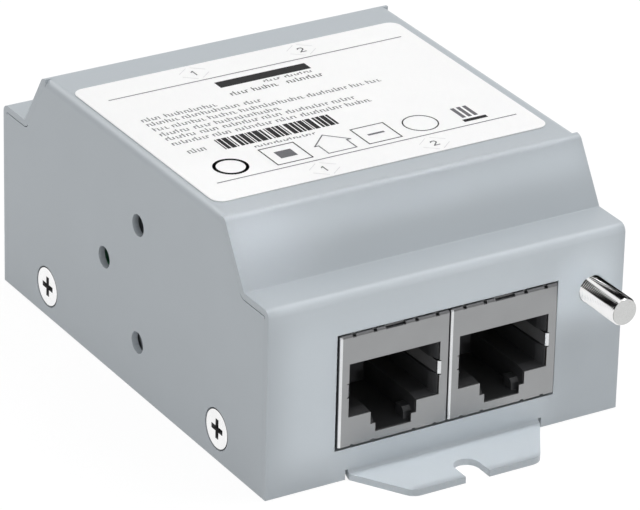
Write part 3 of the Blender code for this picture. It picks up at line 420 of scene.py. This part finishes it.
# Side screws: the reach of the cross recess from the axis, which is painted dark as painted shade, the
# depths under the head's face that it lies between, and the start and depth of the rim, painted dark as a
# painted shadow of the gap round the head
RECESS_REACH = 1.45 * MM
RECESS_DEPTHS = (0.02 * MM, 1.15 * MM)
RIM_START = 2.3 * MM
RIM_DEPTH = 0.2 * MM

# Limits of a normal's share along an axis, which tell a flat face from a bend or a slope
FLAT = 0.95
BEND_SIDE = 0.12
BEND_RISE = 0.5
UPPER = 0.3
WALL = 0.8
SLOPE_SHARES = (0.05, 0.6)


def make_screws():
    for corner in CORNERS:
        low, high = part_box("side_screw_" + corner)
        middle = (low + high) / 2
        head_x = low.x if low.x < 0 else high.x

        def head_slot(centre, normal, head_x=head_x, middle=middle):
            out = Vector((centre.y - middle.y, centre.z - middle.z)).length
            depth = abs(centre.x - head_x)
            # Painted shade in the cross recess and a painted shadow round the head's rim both get the dark
            # material
            recess = out < RECESS_REACH and RECESS_DEPTHS[0] < depth < RECESS_DEPTHS[1]
            rim_painted_shadow = out > RIM_START and depth < RIM_DEPTH and abs(normal.x) < FLAT
            return 1 if recess or rim_painted_shadow else 0

        dressed("side_screw_" + corner, "side_screw_body_" + corner,
                [MATERIALS["screw"], MATERIALS["recess"]],
                bevel=0.10 * MM, chooser=head_slot)


# Sockets: the depth of the shield's front bends, where the bends facing one side get a painted highlight,
# half the width between its walls, the depth where its fingers start, the depths that the insert's lead-in
# slopes between, which get a lighter plastic as painted light, and the length of the carrier of the contact
# wires
SHIELD_BEND_DEPTH = 0.5 * MM
SHIELD_INSIDE = 6.9 * MM
FINGER_START = 0.4 * MM
LEAD_IN_DEPTHS = (0.36 * MM, 1.8 * MM)
CARRIER_LENGTH = 9.4 * MM


def mould_slot(centre, normal):
    """Lead-in of a socket's insert, which gets a lighter plastic as painted light, or its plain plastic."""
    depth = JACK_FACE - abs(centre.y)
    sloped = SLOPE_SHARES[0] < abs(normal.y) < SLOPE_SHARES[1]
    return 1 if LEAD_IN_DEPTHS[0] < depth < LEAD_IN_DEPTHS[1] and sloped else 0


def make_jacks():
    for corner in CORNERS:
        low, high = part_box("jack_shield_" + corner)
        middle = (low.x + high.x) / 2

        def shield_slot(centre, normal, middle=middle):
            depth = JACK_FACE - abs(centre.y)
            at_front = depth < SHIELD_BEND_DEPTH
            # Painted highlight: the front bends facing one side get the pale steel
            painted_highlight_side = normal.x * centre.y > 0 and abs(normal.z) < BEND_RISE
            if at_front and painted_highlight_side and BEND_SIDE < abs(normal.x) < FLAT:
                return 1
            # Painted shade: the top faces at the front get the dark finger steel
            upper = at_front and normal.z > UPPER
            inside = depth > FINGER_START and abs(centre.x - middle) < SHIELD_INSIDE
            return 2 if upper or (inside and abs(normal.x) > WALL) else 0

        dressed("jack_shield_" + corner, "jack_can_" + corner,
                [MATERIALS["shield"], MATERIALS["shield_bend_painted_highlight"], MATERIALS["finger"]],
                chooser=shield_slot, angle=40)
        dressed("jack_insert_" + corner, "jack_moulding_" + corner,
                [MATERIALS["plastic"], MATERIALS["lead_in_painted_light"]],
                bevel=0.05 * MM, chooser=mould_slot)

        low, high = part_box("jack_contacts_" + corner)
        inner = min(abs(low.y), abs(high.y))

        def wire_slot(centre, normal, inner=inner):
            return 0 if abs(centre.y) > inner + CARRIER_LENGTH else 1

        dressed("jack_contacts_" + corner, "jack_wires_" + corner,
                [MATERIALS["gold"], MATERIALS["plastic"]], chooser=wire_slot)


# Bare metal at the ends of the small parts on the board
LEAD_LENGTH = 0.86 * MM
CAP_LENGTH = 0.99 * MM
CAP_FACE = 0.9


def make_board_parts():
    dressed("circuit_board", "board_plate", [MATERIALS["board"]], bevel=0.05 * MM)
    for corner in CORNERS:
        dressed("board_standoff_" + corner, "standoff_body_" + corner, [MATERIALS["brass"]],
                bevel=0.08 * MM)
        dressed("board_screw_" + corner, "board_screw_body_" + corner, [MATERIALS["board_screw"]],
                bevel=0.04 * MM)
        low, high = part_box("diode_array_" + corner)

        def lead_slot(centre, normal, low=low, high=high):
            edge = min(abs(centre.y - low.y), abs(centre.y - high.y))
            return 1 if edge < LEAD_LENGTH else 0

        dressed("diode_array_" + corner, "array_body_" + corner, [MATERIALS["epoxy"], MATERIALS["lead"]],
                bevel=0.04 * MM, chooser=lead_slot)
    for end in ("front", "rear"):
        for number in range(1, 5):
            node = "discharge_tube_{}_{}".format(end, number)
            low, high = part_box(node)

            def cap_slot(centre, normal, low=low, high=high):
                edge = min(centre.y - low.y, high.y - centre.y)
                return 1 if edge < CAP_LENGTH or abs(normal.y) > CAP_FACE else 0

            dressed(node, "tube_body_{}_{}".format(end, number), [MATERIALS["ceramic"], MATERIALS["cap"]],
                    bevel=0.05 * MM, chooser=cap_slot, angle=40)


# Thread of the stud, with the flat share of its crest, and how finely it is cut
THREAD_PITCH = 0.36 * MM
THREAD_DEPTH = 0.21 * MM
THREAD_CREST = 0.05
STEPS_AROUND = 72
ROWS_PER_PITCH = 8

# Chamfer at the stud's tip, and how deep its end face reaches
STUD_CHAMFER = 0.15 * MM
STUD_END_DEPTH = 0.01 * MM


def thread_rings(length, back, head_radius):
    """Rings of the stud as (distance from the tip, radius) for every step around."""
    rows = int(length / THREAD_PITCH * ROWS_PER_PITCH)
    rings = [[(0.0, STUD_RADIUS - STUD_CHAMFER)] * STEPS_AROUND]
    for row in range(rows + 1):
        along = length * row / rows
        limit = STUD_RADIUS - max(0.0, STUD_CHAMFER - along)
        ring = []
        for step in range(STEPS_AROUND):
            phase = (along / THREAD_PITCH - step / STEPS_AROUND) % 1.0
            flank = max(0.0, 2 * min(phase, 1 - phase) - THREAD_CREST)
            groove = THREAD_DEPTH * flank / (1 - THREAD_CREST)
            ring.append((along, min(STUD_RADIUS - groove, limit)))
        rings.append(ring)
    rings.append([(length, head_radius)] * STEPS_AROUND)
    rings.append([(back, head_radius)] * STEPS_AROUND)
    return rings


def make_stud():
    """Stud with a fine thread cut along the part that stands out of the wall."""
    low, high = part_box("ground_stud")
    centre_x, centre_z = (low.x + high.x) / 2, (low.z + high.z) / 2
    tip, back = low.y, high.y
    head_front = back - STUD_HEAD_THICKNESS
    bm = bmesh.new()
    made = []
    for ring in thread_rings(head_front - tip, back - tip, (high.x - low.x) / 2):
        verts = []
        for step, (along, radius) in enumerate(ring):
            turn = 2 * math.pi * step / STEPS_AROUND
            verts.append(bm.verts.new((centre_x + radius * math.cos(turn), tip + along,
                                       centre_z + radius * math.sin(turn))))
        made.append(verts)
    bm.faces.new(made[0])
    bm.faces.new(list(reversed(made[-1])))
    for first, second in zip(made, made[1:]):
        for step in range(STEPS_AROUND):
            after = (step + 1) % STEPS_AROUND
            bm.faces.new((first[step], second[step], second[after], first[after]))
    bmesh.ops.recalc_face_normals(bm, faces=bm.faces)

    def end_slot(centre, normal):
        return 1 if centre.y < tip + STUD_END_DEPTH else 0

    add_piece("stud_thread", finish_mesh("stud_thread", bm), [MATERIALS["stud"], MATERIALS["stud_end"]],
              ("ground_stud",), chooser=end_slot, angle=50)


# Label

# Height of the print over the film, how far it is rooted in the film, and how far the tops of the
# different prints stay below the label's own top
PRINT_HEIGHT = 0.02 * MM
PRINT_ROOT = 0.01 * MM
BOLD_SUNK = 0.002 * MM
TEXT_SUNK = 0.003 * MM
RULE_SUNK = 0.004 * MM
MARK_SUNK = 0.006 * MM

# Ink of each mesh of print, in the order in which they are made
INKS = {"black": "ink", "grey": "grey_ink", "pale": "pale_ink"}

# The layout below is in mm from the label's middle

# Rules: their heights on the label, half their length and half their width
RULE_ROWS = (13.11, -14.93)
RULE_REACH = 22.0
RULE_HALF_WIDTH = 0.09

# Port numbers: the heights of their rows and their places along them, and the inner and outer end of
# the thin marks round them
PORT_ROWS = (15.54, -17.5)
PORT_NUMBERS = ((-8.07, "1"), (8.07, "2"))
NUMERAL_SIZE = 1.25
NUMERAL_LINE = 0.17 * MM
MARK_ENDS = ((0.35, 1.75), (1.9, 0.5))
MARK_LINE = 0.10 * MM

# Outlines of the numerals, in a cell one unit high: strokes as rows of points
NUMERALS = {
    "1": (((-0.18, 0.30), (0.04, 0.50), (0.04, -0.50)),),
    "2": (((-0.29, 0.28), (-0.20, 0.44), (0.0, 0.50), (0.20, 0.44), (0.29, 0.26), (0.22, 0.05),
           (-0.29, -0.48), (0.31, -0.48)),),
}

# Plain bar at the head, as its ends and its foot and top
HEAD_BAR = (-7.3, 6.2, 9.85, 11.65)

# Rows under the bar: the ink, the height on the label, the height of the strokes, and the left end and
# length of each word
HEAD_ROWS = (
    ("grey", 9.15, 0.7, ((-1.6, 2.6), (1.6, 4.3))),
    ("black", 7.6, 1.1, ((-7.4, 2.7), (-4.1, 3.7), (1.0, 5.4))),
)

# Text rows, as the height on the label and the lengths of their words
TEXT_START = -21.5
TEXT_HEIGHT = 1.05
WORD_GAP = 0.5
TEXT_ROWS = (
    (5.68, (2.9, 7.5)),
    (4.25, (4.6, 8.6, 2.5)),
    (2.57, (2.2, 4.8, 4.1, 9.5, 6.0, 1.9, 2.1)),
    (0.89, (4.4, 2.6, 9.6)),
    (-0.61, (4.5, 2.8, 5.2, 3.1, 6.3, 3.4)),
    (-2.25, (5.4, 2.8, 5.4, 3.2, 6.2, 3.7)),
)

# Words beside and under the stripes: both ends, the height on the label and the height of the strokes
STRIPE_WORDS = (-20.9, -18.1, -5.2, 1.25)
STRIPE_FOOT_WORDS = (-12.7, -3.8, -7.8, 0.62)

# Stripes and the gaps between them in turn, from the left end over the whole length
STRIPES_START = -16.1
STRIPES_LENGTH = 16.6
STRIPES_HEIGHTS = (-6.79, -3.68)
STRIPES = (1, 1, 3, 1, 4, 1, 1, 2, 3, 1, 2, 1, 4, 1, 1, 1, 3, 1, 5, 1, 2, 2, 1, 1, 4, 1, 2, 1, 3, 1, 1, 2,
           4, 1, 3, 1, 2, 1, 4, 1, 1, 1, 4, 2, 2, 1, 3, 1, 4, 1, 2)

# Plain signs: rings as their middle and radius, boxes and bars as their ends and their foot and top, a
# house as its corners
SIGN_LINE = 0.17 * MM
BOLD_RING_LINE = 0.42 * MM
RING_STEPS = 36
BOLD_RING = (-18.1, -11.5, 2.1)
FINE_RING = (9.7, -11.5, 2.3)
SIGN_BOXES = ((-12.64, -7.61, -13.9, -8.9), (0.7, 5.5, -13.9, -9.1))
SIGN_BARS = ((-11.3, -8.9, -12.4, -10.4), (1.9, 4.3, -11.7, -11.3))
SIGN_HOUSE = ((-5.86, -11.4), (-3.25, -8.8), (-0.64, -11.4), (-1.2, -11.4),
              (-1.2, -13.9), (-5.3, -13.9), (-5.3, -11.4), (-5.86, -11.4))
SIGN_FOOT = (14.9, 18.4, -13.9, -13.2)
SIGN_POSTS = (15.3, 16.2, 17.1)
POST_WIDTH = 0.55
POST_HEIGHTS = (-12.7, -9.6)

# Strokes of a word: the step between them, half their width, the height of the shorter ones as a share,
# and the bars' length as a share of the step, half their width, their places up the word as shares, and
# how far their roots are raised
STROKE_STEP = 0.46 * MM
STROKE_HALF_WIDTH = 0.075 * MM
SHORT_STROKE = 0.68
BAR_SHARE = 0.8
BAR_HALF_WIDTH = 0.05 * MM
BAR_PLACES = (0.62, 0.06)
BAR_RAISED = 0.001 * MM


def metres(values):
    return [value * MM for value in values]


def add_stroke(bm, points, width, low, high):
    """Flat printed line of even width through the points."""
    for start, end in zip(points, points[1:]):
        start, end = Vector(start), Vector(end)
        along = (end - start).normalized()
        side = Vector((-along.y, along.x)) * (width / 2)
        cap = along * (width / 2)
        outline = (start - cap - side, end + cap - side, end + cap + side, start - cap + side)
        add_prism(bm, outline, low, high)


def add_bar(bm, x0, x1, y0, y1, low, high):
    add_prism(bm, ((x0, y0), (x1, y0), (x1, y1), (x0, y1)), low, high)


def word_strokes(bm, x0, x1, y, height, low, high):
    """A word's place as a row of fine uprights with short bars between them, which form no letters."""
    count = max(1, int((x1 - x0) / STROKE_STEP))
    foot = y - height / 2
    for index in range(count):
        x = x0 + (index + 0.5) * (x1 - x0) / count
        tall = 1.0 if (index * 7 + count) % 4 == 0 else SHORT_STROKE
        add_bar(bm, x - STROKE_HALF_WIDTH, x + STROKE_HALF_WIDTH, foot, foot + height * tall, low, high)
        if index % 3 != 2:
            rise = foot + height * BAR_PLACES[index % 2]
            add_bar(bm, x, x + STROKE_STEP * BAR_SHARE, rise - BAR_HALF_WIDTH, rise + BAR_HALF_WIDTH,
                    low + BAR_RAISED, high)


def add_ring(bm, x, y, radius, width, low, high):
    centre = Vector((x, y)) * MM
    points = [centre + Vector((math.cos(turn), math.sin(turn))) * radius * MM
              for turn in (2 * math.pi * step / RING_STEPS for step in range(RING_STEPS + 1))]
    add_stroke(bm, points, width, low, high)


def add_rules_and_numbers(grey, pale, base, top):
    """Rules across the label, and the port numbers of both ends with four thin marks round each."""
    for y in RULE_ROWS:
        add_bar(grey, *metres((-RULE_REACH, RULE_REACH, y - RULE_HALF_WIDTH, y + RULE_HALF_WIDTH)),
                base, top - RULE_SUNK)
    for y in PORT_ROWS:
        for x, numeral in PORT_NUMBERS:
            for points in NUMERALS[numeral]:
                line = [((x + u * NUMERAL_SIZE) * MM, (y + v * NUMERAL_SIZE) * MM) for u, v in points]
                add_stroke(grey, line, NUMERAL_LINE, base, top - BOLD_SUNK)
            for side in (-1, 1):
                for rise in (1, -1):
                    mark = [((x + side * u) * MM, (y + rise * v) * MM) for u, v in MARK_ENDS]
                    add_stroke(pale, mark, MARK_LINE, base, top - MARK_SUNK)


def add_words_and_stripes(inks, base, top):
    """Bar at the head, rows of small print and a row of plain stripes."""
    high = top - TEXT_SUNK
    add_bar(inks["black"], *metres(HEAD_BAR), base, top - BOLD_SUNK)
    for ink, y, height, words in HEAD_ROWS:
        for x, length in words:
            word_strokes(inks[ink], *metres((x, x + length, y, height)), base, high)
    for y, words in TEXT_ROWS:
        x = TEXT_START
        for length in words:
            word_strokes(inks["grey"], *metres((x, x + length, y, TEXT_HEIGHT)), base, high)
            x += length + WORD_GAP

    word_strokes(inks["grey"], *metres(STRIPE_WORDS), base, high)
    x = STRIPES_START
    unit = STRIPES_LENGTH / sum(STRIPES)
    for index, width in enumerate(STRIPES):
        if index % 2 == 0:
            add_bar(inks["black"], *metres((x, x + width * unit, *STRIPES_HEIGHTS)), base, high)
        x += width * unit
    word_strokes(inks["grey"], *metres(STRIPE_FOOT_WORDS), base, high)


def add_signs(black, grey, low, high):
    """Row of plain generic shapes along the foot of the label."""
    add_ring(black, *BOLD_RING, BOLD_RING_LINE, low, high)
    for x0, x1, y0, y1 in SIGN_BOXES:
        box = [Vector(point) * MM for point in ((x0, y0), (x1, y0), (x1, y1), (x0, y1), (x0, y0))]
        add_stroke(black, box, SIGN_LINE, low, high)
    for bar in SIGN_BARS:
        add_bar(grey, *metres(bar), low, high)
    add_stroke(grey, [Vector(point) * MM for point in SIGN_HOUSE], SIGN_LINE, low, high)
    add_ring(black, *FINE_RING, SIGN_LINE, low, high)
    add_bar(black, *metres(SIGN_FOOT), low, high)
    for x in SIGN_POSTS:
        add_bar(grey, *metres((x, x + POST_WIDTH, *POST_HEIGHTS)), low, high)


def make_label():
    """White film with rules, port numbers, rows of small print, plain stripes and plain signs."""
    low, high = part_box("rating_label")
    top = high.z
    sheet_top = top - PRINT_HEIGHT
    base = sheet_top - PRINT_ROOT
    bm = bmesh.new()
    add_prism(bm, rounded_rectangle(low.x, high.x, low.y, high.y, LABEL_CORNER_RADIUS), low.z, sheet_top)
    add_piece("label_sheet", finish_mesh("label_sheet", bm), [MATERIALS["film"]],
              ("rating_label",))

    inks = {name: bmesh.new() for name in INKS}
    add_rules_and_numbers(inks["grey"], inks["pale"], base, top)
    add_words_and_stripes(inks, base, top)
    add_signs(inks["black"], inks["grey"], base, top - BOLD_SUNK)
    for name, ink in inks.items():
        add_piece("label_print_" + name, finish_mesh("label_print_" + name, ink), [MATERIALS[INKS[name]]])


# Camera, light and floor

# Share of the world's light that falls on matt surfaces
FILL = 0.68

# Floor: half its side, how far it lies under the body, its grey, the glow that the camera sees and the
# share of that glow in the mixture
FLOOR_REACH = 6.0
FLOOR_SUNK = 0.05 * MM
FLOOR_GREY = 0.80
FLOOR_GLOW = 1.08
GLOW_SHARE = 0.85

# Large lamps: name, place, target, side, power, and whether gloss and matt surfaces show them
LARGE_LAMPS = (
    ("key", (0.42, -0.13, 0.715), (0, 0, 0.015), 0.5, 2.15, False, True),
    ("front_bend_light", (0.47, 0.05, 0.86), (0, 0, 0.025), 0.22, 1.15, True, False),
    ("side_bend_light", (-0.20, 0.74, 0.55), (0, 0, 0.033), 0.50, 2.0, True, False),
)

# Strips of nearly parallel light: name, place, target, the two sides, spread in degrees and power
STRIP_LAMPS = (
    ("wall_light", (-0.0045, -0.135, 0.0135), (-0.0045, 0, 0.0135), (0.039, 0.021), 5, 0.00070),
    ("corner_light", (0.0205, -0.135, 0.0190), (0.0205, 0, 0.0190), (0.009, 0.009), 5, 0.00013),
    ("ear_light", (0, -0.0387, 0.050), (0, -0.0387, 0), (0.032, 0.007), 3, 0.00040),
    ("left_slope_light", (-0.0245, -0.1101, 0.0845), (-0.0245, -0.0253, 0.0315), (0.008, 0.005),
     14, 0.00013),
    ("slope_light", (0, -0.0675, 0.0583), (0, -0.0251, 0.0318), (0.052, 0.004), 7, 0.00014),
    ("shoulder_light", (0, -0.0864, 0.0557), (0, -0.0344, 0.0257), (0.052, 0.004), 3, 0.000075),
    ("shoulder_bend_light", (0, -0.0698, 0.0610), (0, -0.0344, 0.0257), (0.050, 0.0010), 2, 0.000020),
    ("top_bend_light", (0, -0.0479, 0.0776), (0, -0.0237, 0.0339), (0.048, 0.0004), 2, 0.000016),
)

# Strip over the label, which takes its sides from the label
LABEL_LIGHT_HEIGHT = 0.085
LABEL_LIGHT_SPREAD = 2
LABEL_LIGHT_POWER = 0.00022

# Lamp inside the body, which brightens what the bracket holes show
INNER_LAMP = ("inner_light", (-0.0215, 0.006, 0.020), (-0.012, 0.0215, 0.011), (0.006, 0.010), 80, 0.0008)

# Dark cards: name, where each starts and ends in turn from -Y towards +X, and its foot and top, all in
# degrees
CARDS = (("right_card", 9, 97, 0, 53), ("left_card", -58, -11, 3, 44))
CARD_DISTANCE = 1.2
CARD_COLUMNS = 8


def make_camera():
    data = bpy.data.cameras.new("camera")
    data.sensor_width = SENSOR
    data.lens = SENSOR * FOCAL_PIXELS / FRAME_WIDTH
    data.clip_start = 0.01
    data.clip_end = 20.0
    camera = bpy.data.objects.new("camera", data)
    bpy.context.scene.collection.objects.link(camera)
    turn = Matrix((RIGHT, -DOWN, -FORWARD)).transposed()
    camera.matrix_world = Matrix.Translation(EYE) @ turn.to_4x4()
    bpy.context.scene.camera = camera


def add_lamp(name, shape, place, target, power):
    """Area lamp at its place, turned to its target."""
    data = bpy.data.lights.new(name, 'AREA')
    data.shape = shape
    data.energy = power
    lamp = bpy.data.objects.new(name, data)
    bpy.context.scene.collection.objects.link(lamp)
    lamp.location = place
    lamp.rotation_euler = (Vector(target) - Vector(place)).to_track_quat('-Z', 'Y').to_euler()
    return lamp


def add_large_lamp(name, place, target, size, power, glossy, diffuse):
    """Square lamp. Without glossy it lights but isn't mirrored, without diffuse it is only mirrored."""
    lamp = add_lamp(name, 'SQUARE', place, target, power)
    lamp.data.size = size
    lamp.visible_glossy = glossy
    lamp.visible_diffuse = diffuse


def add_strip(name, place, target, sides, spread, power):
    """Lamp of nearly parallel light on a narrow part of the surface."""
    lamp = add_lamp(name, 'RECTANGLE', place, target, power)
    lamp.data.size, lamp.data.size_y = sides
    lamp.data.spread = math.radians(spread)
    lamp.visible_camera = False
    lamp.visible_glossy = False


def seen_or_mirrored(tree):
    """One for the camera's rays, for gloss and for rays through glass, and zero for all others."""
    path = add_node(tree, "ShaderNodeLightPath")
    first = add_node(tree, "ShaderNodeMath", operation='ADD', use_clamp=True)
    second = add_node(tree, "ShaderNodeMath", operation='ADD', use_clamp=True)
    tree.links.new(path.outputs["Is Camera Ray"], first.inputs[0])
    tree.links.new(path.outputs["Is Glossy Ray"], first.inputs[1])
    tree.links.new(first.outputs["Value"], second.inputs[0])
    tree.links.new(path.outputs["Is Transmission Ray"], second.inputs[1])
    return second.outputs["Value"]


def make_world():
    """White to the camera and to reflections, and a softer even fill on everything else."""
    world = bpy.data.worlds.new("studio")
    bpy.context.scene.world = world
    world.use_nodes = True
    tree = world.node_tree
    background = tree.nodes["Background"]
    seen = seen_or_mirrored(tree)
    strength = add_node(tree, "ShaderNodeMapRange")
    strength.inputs["To Min"].default_value = FILL
    strength.inputs["To Max"].default_value = 1.0
    tree.links.new(seen, strength.inputs["Value"])
    background.inputs["Color"].default_value = (1, 1, 1, 1)
    tree.links.new(strength.outputs["Result"], background.inputs["Strength"])


def make_floor():
    """Pale floor that reads white to the camera and keeps a soft part of the shadow."""
    bm = bmesh.new()
    corners = ((-FLOOR_REACH, -FLOOR_REACH, 0), (FLOOR_REACH, -FLOOR_REACH, 0),
               (FLOOR_REACH, FLOOR_REACH, 0), (-FLOOR_REACH, FLOOR_REACH, 0))
    bm.faces.new([bm.verts.new(point) for point in corners])
    mesh = finish_mesh("floor", bm)
    floor = bpy.data.objects.new("floor", mesh)
    bpy.context.scene.collection.objects.link(floor)
    floor.location = (0, 0, -FLOOR_SUNK)
    material, tree = new_material("floor_white")
    tree.nodes.remove(shader_of(tree))
    output = tree.nodes["Material Output"]
    matt = add_node(tree, "ShaderNodeBsdfDiffuse")
    matt.inputs["Color"].default_value = (FLOOR_GREY, FLOOR_GREY, FLOOR_GREY, 1)
    glow = add_node(tree, "ShaderNodeEmission")
    glow.inputs["Strength"].default_value = FLOOR_GLOW
    seen = seen_or_mirrored(tree)
    share = add_node(tree, "ShaderNodeMath", operation='MULTIPLY')
    share.inputs[1].default_value = GLOW_SHARE
    tree.links.new(seen, share.inputs[0])
    mixed = add_node(tree, "ShaderNodeMixShader")
    tree.links.new(share.outputs["Value"], mixed.inputs["Fac"])
    tree.links.new(matt.outputs["BSDF"], mixed.inputs[1])
    tree.links.new(glow.outputs["Emission"], mixed.inputs[2])
    tree.links.new(mixed.outputs["Shader"], output.inputs["Surface"])
    mesh.materials.append(material)


def add_card(name, turn0, turn1, rise0, rise1):
    """Dark curved card of the studio, which only gloss and metal show."""
    bm = bmesh.new()
    edges = []
    for column in range(CARD_COLUMNS + 1):
        turn = math.radians(turn0 + (turn1 - turn0) * column / CARD_COLUMNS)
        edge = []
        for rise in (math.radians(rise0), math.radians(rise1)):
            edge.append(bm.verts.new((CARD_DISTANCE * math.sin(turn) * math.cos(rise),
                                      -CARD_DISTANCE * math.cos(turn) * math.cos(rise),
                                      CARD_DISTANCE * math.sin(rise))))
        edges.append(edge)
    for first, second in zip(edges, edges[1:]):
        bm.faces.new((first[0], second[0], second[1], first[1]))
    mesh = finish_mesh(name, bm)
    material, tree = new_material(name)
    shader = shader_of(tree)
    shader.inputs["Base Color"].default_value = (0.01, 0.01, 0.01, 1.0)
    shader.inputs["Roughness"].default_value = 0.9
    shader.inputs["Specular IOR Level"].default_value = 0.0
    mesh.materials.append(material)
    card = bpy.data.objects.new(name, mesh)
    bpy.context.scene.collection.objects.link(card)
    card.visible_camera = False
    card.visible_diffuse = False
    card.visible_shadow = False


def make_studio():
    make_world()
    for lamp in LARGE_LAMPS:
        add_large_lamp(*lamp)
    for lamp in STRIP_LAMPS:
        add_strip(*lamp)
    low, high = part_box("rating_label")
    middle = (low + high) / 2
    add_strip("label_light", (middle.x, middle.y, LABEL_LIGHT_HEIGHT), (middle.x, middle.y, 0),
              (high.x - low.x, high.y - low.y), LABEL_LIGHT_SPREAD, LABEL_LIGHT_POWER)
    add_strip(*INNER_LAMP)
    for card in CARDS:
        add_card(*card)
    make_floor()
    bpy.context.scene.view_settings.view_transform = 'Standard'


make_housing()
make_seam_paint()
make_screws()
make_jacks()
make_board_parts()
make_stud()
make_label()
make_camera()
make_studio()
